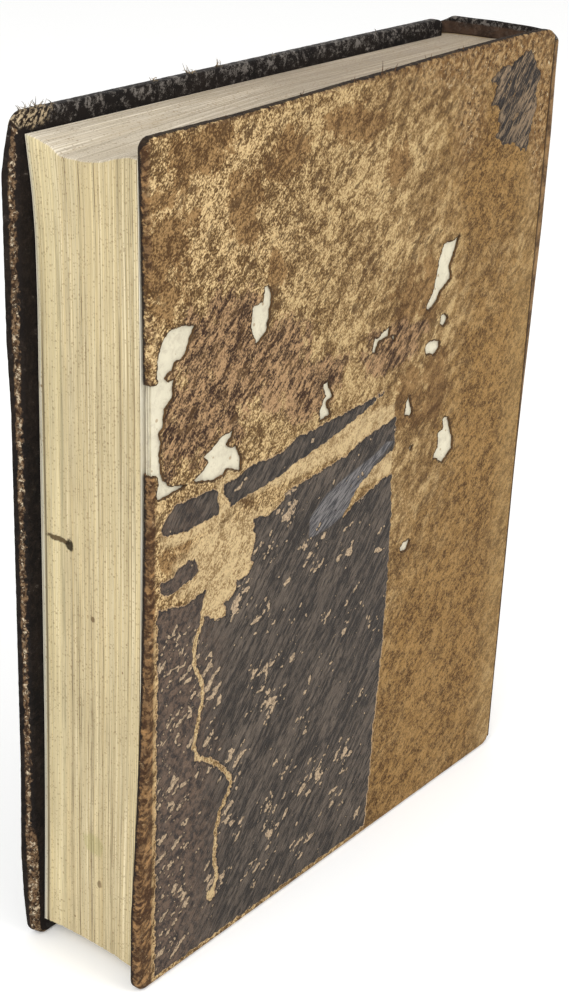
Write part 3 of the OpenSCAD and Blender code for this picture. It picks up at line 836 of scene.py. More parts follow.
def edge_notch(leather, board):
    """The loss at the fore-edge: its inner outline from the CAD leather, run out over the edge."""
    low, high = box_of(leather)
    outline = face_outlines(leather, 0, high[0])[0]
    beyond, _, _ = onto_rim(outline, free_rim(board, 1))
    cut_in = (beyond < -0.35) & (outline[:, 0] < NOTCH_Y)
    cut_in &= (outline[:, 1] > NOTCH_LOW) & (outline[:, 1] < NOTCH_HIGH)
    first = next(i for i in range(len(outline)) if cut_in[i] and not cut_in[i - 1])
    run = np.roll(outline, -first, axis=0)[:cut_in.sum()]
    top, foot = run[0, 1], run[-1, 1]
    far = low[1] - NOTCH_BEYOND
    closing = [(far, foot + 0.2), (far + NOTCH_EASE, (top + foot) / 2), (far, top - NOTCH_EASE)]
    return counter_clockwise(np.vstack([run, closing]))


def hole_outlines():
    """The losses in the back leather, as counter-clockwise torn outlines."""
    holes = face_outlines("back_leather", 0, box_of("back_leather")[1][0])[1:]
    return [torn(counter_clockwise(hole), seed=float(k)) for k, hole in enumerate(holes)]


def spread(place, marks, fray=0.8, fray_size=6.0, soft=0.3):
    """One mask from several stains, each given as its middle in Y and Z and its reach in Y and Z."""
    total = None
    for y, z, reach_y, reach_z in marks:
        mark = effect(STAIN, place, Centre=(20.0, y, z), Reach=(30.0, reach_y, reach_z), Fray=fray,
                      Fray_Size=fray_size, Soft=soft)
        total = mark if total is None else worked("MAXIMUM", total, mark)
    return total


# Where the bare leather is stained, as [Y, Z, reach in Y, reach in Z]
RED_STAINS = ((-66, 184, 22, 26), (-80, 172, 12, 14), (-40, 180, 16, 16), (-26, 168, 18, 10),
              (14, 170, 18, 9))
BROWN_STAINS = ((-86, 222, 13, 26), (-74, 243, 18, 7), (-58, 226, 9, 12), (-40, 238, 12, 9),
                (-44, 207, 4, 7), (84, 233, 8, 18), (60, 247, 26, 5), (-12, 240, 18, 7), (10, 226, 8, 8),
                (26, 182, 18, 14), (-84, 137, 7, 6), (30, 150, 16, 16))
EVEN_STAINS = ((52, 50, 46, 70), (72, 130, 30, 66), (36, 15, 30, 24), (68, 216, 32, 32))
BARED_STAINS = ((-60, 130, 24, 10), (-75, 143, 18, 3.5), (-20, 148, 50, 5), (-66, 119, 12, 9),
                (8, 133, 16, 4), (-62, 152, 5, 5), (-73, 98, 6, 12), (-70, 71, 7, 9), (-59, 54, 7, 6),
                (-64, 24, 7, 15))
SCABBED_STAINS = ((52, 251, 46, 9), (80, 243, 14, 15), (87, 226, 6, 26), (46, 232, 8, 12))
NAP_LEAN = math.radians(-42)


def bare_leather_finish():
    """Flesh side of calf: tan suede whose nap leans up towards the spine, with brown and reddish stains, dark
    flecks, a dark fore-edge, dark rims round the losses that are partly painted shadow, and a near-black band
    of soiled edge and painted shadow along the inner side of the edges."""
    finish, place = new_finish("bare_leather", 0.82, 0.15)
    tear, reach = of_vertex(place, "tear"), of_vertex(place, "reach")
    _, y, z = axes(place)

    def nap(size, low=0.38, high=0.62, lean=NAP_LEAN, draw=1.35):
        return effect(STREAKS, place, Turn=lean, Low=low, High=high,
                      Stretch=(0.9 / size, 1 / (draw * size), draw / size))

    broad, middle = nap(15.0), nap(4.0)
    short, fine = nap(1.6, 0.41, 0.59), nap(0.62, 0.43, 0.57, draw=1.15)
    crisp = 0.32 + 0.68 * y.rise(50.0, -60.0)
    grit = (0.34 * short + 0.46 * fine - 0.4) * crisp
    tone = 0.2 * broad + 0.28 * middle + 0.26 + grit
    even = spread(place, EVEN_STAINS, fray=0.9, fray_size=25.0, soft=0.6)
    colour = layer(tone.rise(0.08, 0.54), (0.085, 0.044, 0.015), (0.27, 0.165, 0.066))
    pale = layer(y.rise(-20.0, -70.0), (0.6, 0.43, 0.21), (0.7, 0.5, 0.25))
    colour = layer(tone.rise(0.42, 0.86), colour, pale)
    soft_tone = 0.12 * broad + 0.3 * nap(2.6, 0.3, 0.7, draw=1.1) + 0.28 * (short + fine)
    warm = layer(soft_tone.rise(0.1, 0.82), (0.062, 0.027, 0.007), (0.35, 0.2, 0.066))
    warm = layer(0.24 * y.rise(72.0, 86.0), warm, (0.46, 0.31, 0.13))
    colour = layer(0.9 * even, colour, warm)

    stained = spread(place, BROWN_STAINS, fray=1.0, fray_size=16.0, soft=0.6)
    share = 0.02 + 0.62 * stained
    patches = effect(MOTTLE, place, Size=12.0, Share=share, Soft=0.02, Rough=0.8)
    browned = layer(tone.rise(0.12, 0.92), (0.08, 0.038, 0.012), (0.325, 0.188, 0.072))
    colour = layer(0.92 * patches, colour, browned)

    reddened = spread(place, RED_STAINS, fray=1.0, fray_size=10.0, soft=0.6)
    share = -0.15 + 0.95 * reddened
    patches = effect(MOTTLE, place, Size=7.0, Share=share, Soft=0.06, Rough=0.78)
    strokes = nap(2.6, 0.38, 0.62, draw=1.9)
    ruddy = 0.62 * tone + 0.38 * strokes
    ruddy = layer(ruddy.rise(0.22, 0.8), (0.03, 0.013, 0.008), (0.43, 0.26, 0.13))
    colour = layer(0.92 * patches, colour, ruddy)

    scabbed = spread(place, SCABBED_STAINS, fray=1.0, fray_size=6.0, soft=0.5)
    pitted = effect(MOTTLE, place, Size=2.0, Share=0.42, Soft=0.08, Rough=0.8)
    scab = layer(pitted, layer(short, (0.2, 0.105, 0.036), (0.42, 0.27, 0.12)), (0.055, 0.026, 0.011))
    crumbs = effect(MOTTLE, place, Size=1.5, Share=0.2, Soft=0.04, Rough=0.7)
    scab = layer(crumbs, scab, (0.68, 0.54, 0.33))
    colour = layer(0.95 * scabbed, colour, scab)

    within = y.rise(-89.5, -88.0) * y.rise(16.9, 16.1)
    bared = spread(place, BARED_STAINS, fray=0.8, fray_size=7.0, soft=0.2) * within
    clean = layer(tone.rise(0.1, 0.7), (0.27, 0.17, 0.072), (0.62, 0.46, 0.245))
    colour = layer(0.92 * bared, colour, clean)

    quiet = 1.0 - 0.75 * worked("MAXIMUM", bared, even)
    for size, low, strength in ((4.6, 0.6, 0.7), (2.6, 0.615, 0.75), (1.2, 0.625, 0.7)):
        pits = nap(size, low, low + 0.03, draw=1.5) * quiet
        colour = layer(strength * pits, colour, (0.085, 0.044, 0.016))

    strip = y + 3.2 * z.rise(150.0, 205.0)
    at_fore = strip.rise(-90.0, -91.6)
    ragged = effect(MOTTLE, place, Size=2.4, Share=0.88, Soft=0.06, Rough=0.8)
    border = at_fore * ragged
    dark = layer(middle * short, (0.052, 0.023, 0.01), (0.33, 0.175, 0.068))
    colour = layer(0.9 * border, colour, dark)
    rubbed_off = effect(MOTTLE, place, Size=4.0, Share=0.52, Soft=0.04, Rough=0.85)
    edge = reach.rise(0.9, 1.5) * rubbed_off
    colour = layer(0.8 * edge, colour, layer(short, (0.045, 0.022, 0.011), (0.21, 0.12, 0.056)))
    # The near-black band along the inner side of the edges, widest at the head, is dark soiled edge and
    # painted shadow where the cover meets the leaves.
    frayed = effect(MOTTLE, place, Size=2.0, Share=0.5, Soft=0.25, Rough=0.8)
    at_head = 1.5 * z.rise(247.0, 249.0)
    soiled_and_shaded = (reach + at_head + 1.3 * frayed).rise(4.2, 4.5)
    colour = layer(0.93 * soiled_and_shaded, colour, (0.013, 0.0085, 0.0062))
    flakes = effect(MOTTLE, place, Size=1.5, Share=0.16, Soft=0.04, Rough=0.7)
    flakes = flakes * worked("MAXIMUM", at_fore, edge)
    colour = layer(0.7 * flakes, colour, (0.46, 0.33, 0.18))
    line = y.rise(-91.6, -91.1) * y.rise(-90.1, -90.6) * z.rise(121.0, 117.0)
    colour = layer(0.9 * (line * middle), colour, (0.46, 0.31, 0.15))

    # Dark rims round the losses: the leather's dark torn edge, with painted shadow laid along it on the face.
    rim = (tear + 0.3 * fine).rise(0.75, 0.35)
    colour = layer(0.88 * rim, colour, (0.04, 0.021, 0.01))
    height = 0.6 * short + 0.5 * fine
    return painted(finish, colour, height, 0.22)


def cut_finish():
    """The cut thickness of the leather, dark brown fibres round the losses."""
    finish, place = new_finish("torn_leather_edge", 0.9, 0.1)
    fibre = effect(MOTTLE, place, Size=1.2, Share=0.5, Soft=0.2)
    return painted(finish, layer(fibre, (0.055, 0.03, 0.014), (0.16, 0.09, 0.04)), fibre, 0.1)


def wall_finishes(points, faces, walls):
    """The torn finish for walls round the losses, and the skin's own finish for all else."""
    joint_y = points[:, 1].max()
    start = len(faces) - walls
    return [0] * start + [int(min(points[i, 1] for i in face) < joint_y - 0.5) for face in faces[start:]]


LEATHER_EDGE = cut_finish()
losses = hole_outlines()
edge_loss = torn(edge_notch("back_leather", "back_board"), seed=5.0)
points, faces, walls, numbers = wrapped_leather("back_board", "back_leather", 1, losses, edge_loss)
finish_of = wall_finishes(points, faces, walls)
back_skin = new_piece("tan_leather", points, faces, [bare_leather_finish(), LEATHER_EDGE], numbers, finish_of)
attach(back_skin, "back_cover")
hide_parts("back_leather")


# Boards: pasteboard, made of sheets pasted together. It shows cream and speckled through the losses,
# and its sheets part at the fore-edge, where the leather no longer holds them.
def board_finish(name, light):
    """Pasteboard: cream with brown specks and lint on its face, and thin dark lines between its sheets."""
    finish, place = new_finish(name, 0.9, 0.1)
    colour = layer(effect(MOTTLE, place, Size=7.0, Share=0.5, Soft=0.25), light,
                   tuple(0.86 * c for c in light))
    grime = effect(MOTTLE, place, Size=2.6, Share=0.36, Soft=0.1, Rough=0.8)
    colour = layer(0.5 * grime, colour, (0.42, 0.36, 0.27))
    for spacing, size, share, strength in ((1.0, 0.26, 0.22, 0.5), (3.0, 0.16, 0.4, 0.7)):
        specks = effect(SPECKLE, place, Spacing=spacing, Size=size, Share=share)
        colour = layer(strength * specks, colour, (0.33, 0.23, 0.13))
    normal = facing(place)
    at_side = abs(normal[0]).rise(0.7, 0.3)
    sheets = effect(STREAKS, place, Stretch=(3.6, 0.05, 0.05), Low=0.52, High=0.6)
    colour = layer(at_side * (0.75 * sheets), colour, (0.16, 0.13, 0.1))
    return painted(finish, colour, effect(MOTTLE, place, Size=1.6, Share=0.5, Soft=0.2), 0.06)


PLY_COUNT = 5
PLY_STEP_BACK = (0.0, 0.22, 0.05, 0.3, 0.0)
PLY_GROOVE = 0.16
# Heights within a sheet, as shares and as a step from its faces, and the groove there
PLY_RINGS = ((0, 0.03, PLY_GROOVE), (0.3, 0, 0), (0.8, 0, 0), (1, -0.03, PLY_GROOVE))
BOARD_JOINT_POINTS = 80


def make_board(node, name, side, finish):
    """A stack of pasted sheets that end a little unevenly, with a groove between one and the next."""
    low, high = box_of(node)
    inner, outer = (low[0], high[0]) if side > 0 else (-high[0], -low[0])
    rim = free_rim(node, side)
    joint_z = np.linspace(rim[-1, 1], rim[0, 1], BOARD_JOINT_POINTS + 2)[1:-1]
    outline = np.vstack([rim, np.stack([np.full(BOARD_JOINT_POINTS, high[1]), joint_z], 1)])
    inward = -way_out(np.roll(outline, -1, axis=0) - np.roll(outline, 1, axis=0))
    free = np.clip((high[1] - outline[:, 0]) / 3, 0, 1)
    rings = []
    ply = (outer - inner) / PLY_COUNT
    for k in range(PLY_COUNT):
        back_off = (PLY_STEP_BACK[k] + 0.1 * (1 + rough(outline, 4, k * 5.0))) * free
        for share, step, groove in PLY_RINGS:
            x = inner + (k + share) * ply + step
            ring = outline + inward * (back_off + groove * free)[:, None]
            ring[:, 1] = rounded_off(ring[:, 0], ring[:, 1], low, high, side)
            rings.append((x, ring))
    points = [(side * x, y, z) for x, ring in rings for y, z in ring]
    faces = tube_faces(len(rings), len(outline), capped=False)
    for k, turn in ((0, -1), (len(rings) - 1, 1)):
        flat, triangles = filled(rings[k][1], extra=[lattice(rings[k][1], 8.0)])
        start = len(points)
        points += [(side * (inner if turn < 0 else outer), y, z) for y, z in flat]
        faces += [tuple(int(i) + start for i in t[::turn]) for t in triangles]
    if side < 0:
        faces = [face[::-1] for face in faces]
    piece = new_piece(name, points, faces, [finish])
    mesh = bmesh.new()
    mesh.from_mesh(piece.data)
    bmesh.ops.remove_doubles(mesh, verts=mesh.verts, dist=0.035 * MM)
    mesh.to_mesh(piece.data)
    mesh.free()
    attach(piece, "back_cover" if side > 0 else "front_cover")
    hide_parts(node)


make_board("back_board", "back_pasteboard", 1, board_finish("cream_pasteboard", (0.68, 0.625, 0.475)))
make_board("front_board", "front_pasteboard", -1, board_finish("brown_pasteboard", (0.60, 0.50, 0.36)))


# Dark grain: what is left of the dyed grain layer, a panel with torn bands across it and a patch at
# the head. It lies a hair above the bare leather, chipped where the tan shows through.
CHIP_LEAN = math.radians(33)
SCUFF_LEAN = math.radians(-50)
GRAIN_STEP = 0.75
SCRAPED = np.array([(-24, 121), (-24, 128), (-16.5, 133), (-7, 135.5), (6, 138), (13, 140.5), (17.5, 139.5),
                    (9, 135.5), (1.5, 131), (-7.5, 123), (-14, 121.5)])
# Clusters of chips, as [Y, Z, reach, strength]
CHIP_CLUSTERS = ((-55, 114, 9, 1.0), (-46, 104, 7, 1.0), (-22, 116, 9, 0.9), (-6, 112, 7, 0.8),
                 (-44, 85, 8, 1.0), (-28, 87, 7, 0.8), (-14, 92, 5, 0.7), (-4, 84, 6, 0.9),
                 (-40, 73, 9, 1.0), (-10, 74, 5, 0.7), (-22, 60, 6, 0.7), (8, 57, 4, 0.7), (-30, 47, 6, 0.7),
                 (-14, 38, 9, 0.9), (0, 36, 8, 1.0), (-38, 37, 8, 0.9), (-22, 34, 6, 0.9), (-58, 44, 8, 1.0),
                 (-54, 36, 7, 0.9), (-36, 24, 9, 0.9), (-2, 22, 7, 0.8), (-20, 12, 8, 0.7),
                 (-44, 18, 6, 0.9), (8, 10, 5, 0.6), (-70, 90, 12, 1.0), (-81, 106, 15, 0.8),
                 (-84, 84, 14, 0.8), (-82, 62, 15, 0.75), (-86, 42, 14, 0.7), (-80, 26, 14, 0.7),
                 (-86, 10, 12, 0.7), (-66, 74, 7, 0.9), (-64, 22, 10, 0.9), (-56, 60, 8, 0.9),
                 (-34, 134, 9, 0.9), (-44, 126, 8, 0.9), (-40, 139, 6, 0.8), (10, 105, 5, 0.5),
                 (12, 80, 5, 0.5), (68, 230, 9, 0.4))


def clustered(y, z):
    """How near a place is to the middle of a cluster of chips, from 0 to 1."""
    return max(s * math.exp(-((y - cy) ** 2 + (z - cz) ** 2) / (0.55 * r * r))
               for cy, cz, r, s in CHIP_CLUSTERS)


def chipped(y, z):
    """0 on whole grain and 1 in a chip: small flecks in clusters, drawn out up towards the spine."""
    along = y * math.cos(CHIP_LEAN) + z * math.sin(CHIP_LEAN)
    aside = z * math.cos(CHIP_LEAN) - y * math.sin(CHIP_LEAN)
    fleck = noise.fractal(Vector((along / 5.0, aside / 2.3, 8.0)), 0.7, 2.2, 5)
    worth = 0.62 * clustered(y, z) + 0.9 * fleck - 0.62
    return max(0.0, min(1.0, worth / 0.12))


def make_grain(node, name, finish, rag):
    """Each island of grain as a raised sheet with a torn outline, sunk where it is chipped."""
    low, high = box_of(node)
    under = box_of("back_leather")[1][0]
    thick = high[0] - under
    numbers = {"chip": [], "rim": [], "scrape": [], "cluster": []}
    all_points, all_faces, total = [], [], 0
    for k, outline in enumerate(face_outlines(node, 0, high[0])):
        edge = torn(outline, rag=rag, size=1.8, seed=20.0 + k)
        flat, faces = filled(edge, extra=[lattice(edge, GRAIN_STEP)])
        away = distance(flat, edge)
        chip = np.array([chipped(y, z) for y, z in flat])
        height = thick * np.clip(away / 0.4, 0, 1) * (1 - 0.8 * chip)
        points = np.stack([under + skin_lift(flat) + height - 0.01, flat[:, 0], flat[:, 1]], 1)
        points, faces, _ = thickened(points, faces, np.full(len(points), 0.12))
        all_points.append(points)
        all_faces += [tuple(int(i) + total for i in f) for f in faces]
        for label, values in (("chip", chip), ("rim", away + 0.35 * rough(flat, 1.2, 6)),
                              ("scrape", distance(flat, SCRAPED) * np.where(inside(flat, SCRAPED), 1, -1)),
                              ("cluster", [clustered(y, z) for y, z in flat])):
            numbers[label].append(np.tile(values, 2))
        total += len(points)
    piece = new_piece(name, np.vstack(all_points), all_faces, [finish],
                      {label: np.concatenate(values) for label, values in numbers.items()})
    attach(piece, "back_cover")
    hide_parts(node)


def grain_finish(name, base, streak, chip_colour, rim_colour, low, high, rim_shadow_strength):
    """Dark grain with pale scuffs that lean up towards the spine, tan chips ringed with painted shadow and a
    pale torn rim. The scuffs show between low and high, and rim_shadow_strength is the strength of the
    painted shadow line inside the rim."""
    finish, place = new_finish(name, 0.65, 0.18)
    chip, rim, scrape, cluster = (of_vertex(place, label) for label in ("chip", "rim", "scrape", "cluster"))
    scuff = effect(STREAKS, place, Turn=SCUFF_LEAN, Stretch=(0.3, 0.13, 0.75), Low=0.4, High=0.6)
    crease = effect(STREAKS, place, Turn=SCUFF_LEAN, Stretch=(0.9, 0.38, 1.9), Low=0.42, High=0.58)
    rubbed = 0.55 * scuff + 0.45 * crease
    wide = effect(STREAKS, place, Turn=SCUFF_LEAN, Stretch=(0.1, 0.03, 0.14), Low=0.42, High=0.62)
    rubbed = 0.82 * rubbed + 0.2 * wide
    colour = layer(rubbed.rise(low, high), base, streak)
    cloud = effect(MOTTLE, place, Size=16.0, Share=0.5, Soft=0.16)
    colour = layer(0.34 * cloud, colour, tuple(0.9 * c for c in base))
    browned = effect(STAIN, place, Centre=(22.0, -88.0, 55.0), Reach=(30.0, 22.0, 90.0), Fray=0.9,
                     Fray_Size=14.0, Soft=0.5)
    earthy = effect(MOTTLE, place, Size=2.2, Share=0.5, Soft=0.08, Rough=0.75)
    earthy = layer(earthy, (0.025, 0.016, 0.013), (0.15, 0.095, 0.062))
    colour = layer(0.75 * browned, colour, earthy)
    scratched = effect(STREAKS, place, Turn=-CHIP_LEAN, Stretch=(0.6, 0.22, 2.4), Low=0.4, High=0.62)
    blue = layer(scratched, (0.034, 0.033, 0.037), (0.2, 0.184, 0.176))
    colour = layer(0.92 * scrape.rise(-0.3, 0.5), colour, blue)
    fine = clouds(place, 1.6, 3.0, 0.7)
    tan = layer(fine.rise(0.42, 0.62), chip_colour, tuple(0.42 * c for c in chip_colour))
    grain_noise = fine - 0.5
    worn = chip + grain_noise
    fleck = effect(STREAKS, place, Turn=-1.25 * CHIP_LEAN, Stretch=(0.5, 0.34, 0.8), Low=0.0, High=1.0)
    fleck = fleck + 0.17 * cluster
    worn = worked("MAXIMUM", worn, fleck.rise(0.73, 0.89))
    # A near-black band is painted round each chip, where the grain steps down to the tan: painted shadow.
    colour = layer(0.85 * worn.rise(0.08, 0.34), colour, (0.012, 0.009, 0.007))
    worn = worn.rise(0.36, 0.54)
    colour = layer(worn, colour, tan)
    # A dark line is painted just inside the grain's torn rim: painted shadow where the grain stands over the
    # bare leather.
    _, y, z = axes(place)
    at_side = y.rise(8.0, 12.0) * z.rise(95.0, 60.0)
    rim = rim - 0.55 * at_side + 1.1 * grain_noise
    colour = layer(rim_shadow_strength * rim.rise(0.85, 0.4), colour, (0.01, 0.0075, 0.006))
    colour = layer(0.85 * rim.rise(0.3, 0.16), colour, rim_colour)
    return painted(finish, colour, rubbed + 0.5 * fine, 0.3, 0.55 + 0.3 * worn)


make_grain("back_grain_panel", "grain_panel", grain_finish(
    "dark_grain", (0.018, 0.0130, 0.0098), (0.128, 0.098, 0.073), (0.50, 0.37, 0.24), (0.42, 0.28, 0.15),
    0.12, 1.0, 0.6), 0.65)
make_grain("back_grain_corner", "grain_patch", grain_finish(
    "patch_grain", (0.011, 0.0068, 0.0050), (0.300, 0.205, 0.118), (0.22, 0.145, 0.08), (0.05, 0.030, 0.017),
    0.25, 0.85, 0.35), 0.9)


# Front cover: the same skin on its board, still dark brown and whole. Its edges are rubbed to tan
# flecks, most of all down the fore-edge and at the head corner.
def dark_leather_finish(name, rub):
    """Dark brown leather with a dull sheen, pale scuffs on its face and tan fibres where edges are rubbed."""
    finish, place = new_finish(name, 0.7, 0.12)
    reach = of_vertex(place, "reach")
    base = layer(effect(MOTTLE, place, Size=18.0, Share=0.5, Soft=0.2), (0.006, 0.005, 0.0048),
                 (0.014, 0.01, 0.0082))
    crackle = effect(MOTTLE, place, Size=2.6, Share=0.42, Soft=0.1, Rough=0.8)
    colour = layer(0.4 * crackle, base, (0.042, 0.03, 0.023))
    _, y, z = axes(place)
    near_head = 0.14 + 0.28 * z.rise(241.0, 249.0)
    scuffs = effect(MOTTLE, place, Size=2.6, Share=near_head, Soft=0.03, Rough=0.9)
    colour = layer(0.6 * scuffs, colour, (0.27, 0.245, 0.22))
    at_fore = y.rise(-86.0, -95.0)
    amount = 0.12 + at_fore * rub
    flakes = effect(MOTTLE, place, Size=6.0, Share=amount, Soft=0.05, Rough=0.85)
    frayed = clouds(place, 0.35, 5.0, 0.7)
    ragged = reach + 3.6 * (frayed - 0.5)
    at_foot = z.rise(42.0, 30.0) * at_fore
    ragged = ragged - 1.6 * at_foot
    outer_rag = reach + 1.5 * (frayed - 0.5)
    on_edge = outer_rag.rise(2.9, 3.2) * ragged.rise(4.35, 4.05)
    fibre = effect(STREAKS, place, Turn=0.4, Stretch=(1.1, 1.1, 0.7), Low=0.42, High=0.62)
    tan = layer(fibre, (0.034, 0.018, 0.01), (0.185, 0.115, 0.062))
    crumbs = effect(MOTTLE, place, Size=1.4, Share=0.34, Soft=0.05, Rough=0.75)
    near_rim = outer_rag.rise(3.1, 3.4) * ragged.rise(4.3, 3.9)
    tan = layer(crumbs * near_rim, tan, (0.6, 0.49, 0.34))
    colour = layer(on_edge * flakes, colour, tan)
    fluffy = effect(STAIN, place, Centre=(-20.0, -92.5, 250.5), Reach=(30.0, 7.0, 5.0), Fray=1.0,
                    Fray_Size=3.0, Soft=0.25)
    threads = effect(STREAKS, place, Turn=-0.7, Stretch=(0.8, 0.6, 1.2), Low=0.47, High=0.58)
    fluff = layer(threads, (0.016, 0.01, 0.007), (0.48, 0.37, 0.23))
    colour = layer(0.95 * fluffy, colour, fluff)
    return painted(finish, colour, crackle + 0.8 * flakes, 0.12, 0.62 + 0.3 * flakes)


points, faces, walls, numbers = wrapped_leather("front_board", "front_leather", -1, step=2.5, seed=40.0)
finish_of = wall_finishes(points, faces, walls)
front_skin = new_piece("dark_cover_leather", points, faces,
                       [dark_leather_finish("dark_leather", 0.58), LEATHER_EDGE], numbers, finish_of)
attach(front_skin, "front_cover")
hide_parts("front_leather")


# Spine leather: the middle of the skin, glued to the lined backs of the folds and turned in at head
# and tail. It is dark like the front cover and runs out to tan at the back cover's joint.
SHOULDER = 5.0
SPINE_TURN_IN = 0.4
SPINE_CROWN, CROWN_HALF = 0.6, 17.0
# How far the shoulders draw in, at heights from the tail
SLACK_HEIGHTS = (0.0, 10.0, 60.0, 100.0, 130.0, 160.0, 190.0, 220.0, 240.0)
SLACK = (2.3, 2.0, 1.8, 1.1, 0.3, -0.3, -0.8, -0.8, -0.4)


def spine_path(half, joint_y, bulge):
    """The spine's outline in plan, from the back cover's joint: a shoulder, the wide arc and a shoulder."""
    centre_x = half - SHOULDER
    wide = (centre_x ** 2 + bulge ** 2 - SHOULDER ** 2) / (2 * (bulge - SHOULDER))
    back_y = joint_y + bulge - wide
    meet = math.atan2(joint_y - back_y, centre_x)
    shoulder = [(centre_x + SHOULDER * math.cos(a), joint_y + SHOULDER * math.sin(a))
                for a in np.linspace(0, meet, 16)]
    arc = [(wide * math.cos(a), back_y + wide * math.sin(a))
           for a in np.linspace(meet, math.pi - meet, 62)[1:-1]]
    return np.array([*shoulder, *arc, *[(-x, y) for x, y in reversed(shoulder)]])


def make_spine():
    """The spine's leather: its section, over the head and the tail to the turn-ins, at each place along
    its outline in plan. Its head and tail fall away towards the joints, like the covers' corners."""
    low, high = box_of("spine_leather")
    centre_y = low[1]
    skin = high[1] - box_of("spine_lining")[1][1]
    turned = skin + SPINE_TURN_IN
    path = spine_path(high[0], centre_y, high[1] - centre_y)
    out = way_out(np.gradient(path, axis=0))
    tail_in, head_in = (corner[2] for corner in box_of("leaves"))
    r = turned / 2
    arc = np.radians(np.linspace(0, 180, 9))
    section = [(0.0, z) for z in np.linspace(r, high[2] - r, 60)]
    section += [(r - r * math.cos(a), high[2] - r + r * math.sin(a)) for a in arc[1:]]
    section += [(turned, head_in + 0.3), (skin, head_in + 0.1), (skin, tail_in - 0.1),
                (turned, tail_in - 0.3)]
    section += [(r + r * math.cos(a), r - r * math.sin(a)) for a in arc[:-1]]
    points, reach = [], []
    for spot, way in zip(path, out):
        fall = rise_between(abs(spot[0]), CROWN_HALF, high[0] + 0.6)
        free = rise_between(spot[1] - centre_y, 0.0, 3.0)
        for inset, z in section:
            sag = max(0.10 * noise.noise(Vector((spot[0] / 9, z / 30, 2))), 0) if inset < r else 0
            droop = 0
            if z > high[2] - 2 * r:
                droop = 0.25 * (noise.noise(Vector((spot[0] / 12, 0, z / 200 + 5))) - 0.3)
            slack = float(np.interp(z, SLACK_HEIGHTS, SLACK))
            slack *= 1 if slack > 0 else rise_between(spot[0], -8.0, 12.0)
            inward = inset + sag + free * slack
            y, x = spot[1] - way[1] * inward, spot[0] - way[0] * inward
            to_head = max(0.0, (z - head_in) / (high[2] - head_in))
            to_tail = max(0.0, (tail_in - z) / tail_in)
            lower = fall * (HEAD_CORNER * to_head - TAIL_CORNER * to_tail)
            lower -= (1 - fall) * SPINE_CROWN * to_head
            points.append((x, max(y, centre_y), min(z + droop, high[2]) - lower))
            reach.append(2.2 if (z > high[2] - 1.2 * r or z < 1.2 * r) else 0.0)
    return points, tube_faces(len(path), len(section)), reach


def rise_between(value, low, high):
    """0 below low and 1 above high, with a soft step between."""
    share = min(max((value - low) / (high - low), 0.0), 1.0)
    return share * share * (3 - 2 * share)


def spine_finish():
    """Dark brown leather, rubbed at head and tail, which runs out to tan along the back joint."""
    finish = dark_leather_finish("spine_leather", 0.2)
    tree = finish.node_tree
    shader = tree.nodes["Principled BSDF"]
    dark = shader.inputs["Base Color"].links[0].from_socket
    place = next(n for n in tree.nodes if n.type == "VECT_MATH" and n.operation == "SCALE").outputs[0]
    x, y, z = axes(place)
    ragged = 1.8 * (clouds(place, 0.3, 5.0, 0.65) - 0.5)
    tanned = (x + ragged).rise(21.2, 21.8)
    outside = y.rise(89.5, 91.0)
    tan = layer(effect(MOTTLE, place, Size=4.0, Share=0.5, Soft=0.12, Rough=0.75), (0.075, 0.04, 0.016),
                (0.27, 0.16, 0.068))
    normal = facing(place)
    turned_in = normal[1].rise(-0.3, -0.6) * z.rise(249.2, 248.4)
    brown = effect(MOTTLE, place, Size=5.0, Share=0.5, Soft=0.15)
    brown = layer(brown, (0.03, 0.018, 0.012), (0.085, 0.05, 0.032))
    dark = layer(0.85 * turned_in, dark, brown)
    return painted(finish, layer(tanned * outside, dark, tan))


points, faces, reach = make_spine()
spine = new_piece("spine_skin", points, faces, [spine_finish()], {"reach": reach})
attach(spine, "text_block")
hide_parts("spine_leather")


# Loose fibres: where the edges are rubbed, threads of the leather stand up and curl. Each lot still
# holds on to the skin that it comes from, so it turns with its cover.
FIBRE_SIDES, FIBRE_RINGS = 5, 9
# Where they stand, as [Y, Z, how many, length, how far they scatter, how far they lie over]
NEAR_TUFTS = ((-32.5, 250.4, 5, 2.6, 1.2, 0.9), (-12.0, 251.0, 5, 2.8, 1.2, 0.9),
              (0.3, 251.2, 3, 5.0, 0.6, 1.2), (6.4, 251.3, 4, 2.6, 0.8, 0.9),
              (25.8, 251.9, 8, 2.0, 3.0, 1.2), (44.0, 252.3, 10, 1.6, 7.0, 1.5),
              (70.0, 252.5, 10, 1.4, 10.0, 1.5), (-60.0, 249.8, 6, 1.3, 8.0, 1.5))
FAR_TUFTS = ((-92.0, 249.0, 44, 3.6, 3.0, 2.2), (-86.5, 249.6, 22, 3.0, 3.0, 1.6),
             (-44.7, 249.8, 6, 2.2, 0.8, 0.9), (-30.4, 249.8, 10, 3.4, 0.9, 0.9),
             (-19.0, 249.8, 10, 3.0, 0.9, 0.9), (4.0, 249.8, 6, 1.5, 8.0, 1.5),
             (52.0, 249.8, 8, 1.6, 12.0, 1.5))


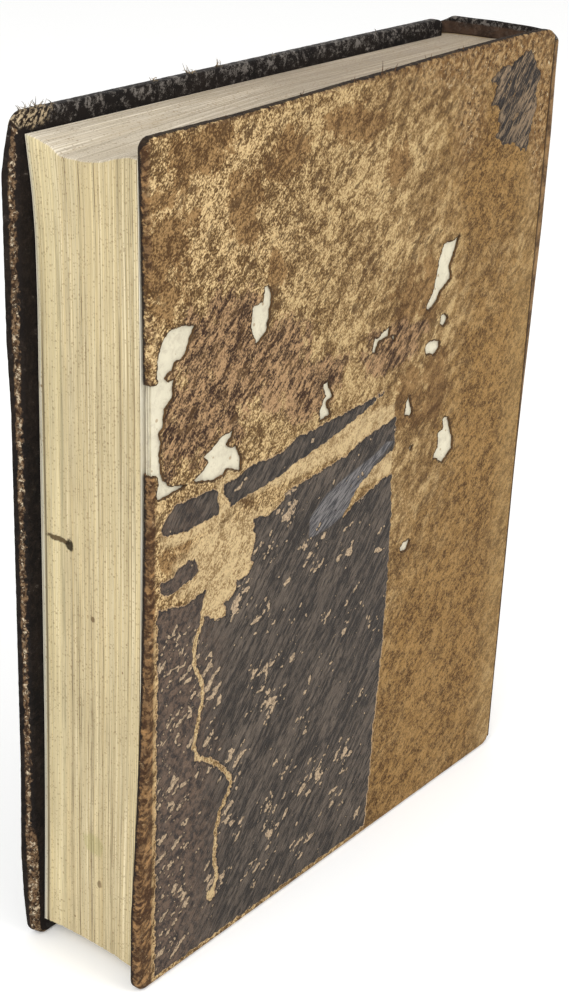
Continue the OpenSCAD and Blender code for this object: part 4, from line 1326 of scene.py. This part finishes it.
def make_fibres(name, side, tufts, finish, body, seed):
    """Thin threads, each a tapered tube that leaves the edge upwards and bends all one way."""
    dice = random.Random(seed)
    points, faces = [], []
    for y, z, count, length, scatter, lean in tufts:
        for _ in range(count):
            spot = Vector((side * dice.uniform(19.3, 21.6), y + dice.uniform(-scatter, scatter), z - 0.4))
            axis = Vector((side, dice.uniform(-0.5, 0.5), 0)).normalized()
            heading = Vector((dice.uniform(-0.5, 0.5), dice.uniform(-lean, lean), 1.0)).normalized()
            bend = Matrix.Rotation(math.radians(dice.uniform(-24, 24)), 3, axis)
            reach = length * dice.uniform(0.5, 1.1)
            thick = dice.uniform(0.12, 0.24)
            start = len(points)
            for k in range(FIBRE_RINGS):
                one = (axis - axis.dot(heading) * heading).normalized()
                other = heading.cross(one)
                width = thick * (1 - 0.8 * k / (FIBRE_RINGS - 1))
                for turn in (2 * math.pi * j / FIBRE_SIDES for j in range(FIBRE_SIDES)):
                    points.append(tuple(spot + width * (math.cos(turn) * one + math.sin(turn) * other)))
                spot = spot + heading * (reach / (FIBRE_RINGS - 1))
                heading = bend @ heading
            faces += tube_faces(FIBRE_RINGS, FIBRE_SIDES, start)
    piece = new_piece(name, points, faces, [finish])
    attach(piece, body)


def fibre_finish(name, dark, light):
    """Dry leather fibre."""
    finish, place = new_finish(name, 0.9, 0.1)
    tone = effect(MOTTLE, place, Size=2.0, Share=0.5, Soft=0.15)
    return painted(finish, layer(tone, dark, light))


BROWN_FIBRE = fibre_finish("brown_fibre", (0.020, 0.012, 0.008), (0.13, 0.07, 0.035))
GREY_FIBRE = fibre_finish("grey_fibre", (0.014, 0.010, 0.008), (0.42, 0.32, 0.20))
make_fibres("near_fibres", 1, NEAR_TUFTS, BROWN_FIBRE, "back_cover", 3)
make_fibres("far_fibres", -1, FAR_TUFTS, GREY_FIBRE, "front_cover", 5)


# Pastedowns, spine lining, cords and slips: the CAD pieces keep their shapes. The papers are pasted
# down flat, and the cords are hemp, fanned out where they are pasted to the boards.
def hemp_finish():
    """Twisted hemp, darkened with glue."""
    finish, place = new_finish("hemp", 0.9, 0.1)
    twist = effect(STREAKS, place, Turn=0.6, Stretch=(1.5, 0.5, 3.5), Low=0.4, High=0.6)
    return painted(finish, layer(twist, (0.33, 0.24, 0.13), (0.58, 0.47, 0.3)), twist, 0.15)


PASTEDOWN_PAPER = paper_finish("pastedown_paper", (0.62, 0.54, 0.38), (0.50, 0.40, 0.25), 60.0)
LINING_PAPER = paper_finish("lining_paper", (0.46, 0.35, 0.21), (0.32, 0.22, 0.12), 90.0)
HEMP = hemp_finish()
for name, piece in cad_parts.items():
    kind = None
    if name.endswith("pastedown"):
        kind = PASTEDOWN_PAPER
    elif name == "spine_lining":
        kind = LINING_PAPER
    elif "cord" in name or "slip" in name:
        kind = HEMP
    if kind:
        piece.data.materials.clear()
        piece.data.materials.append(kind)
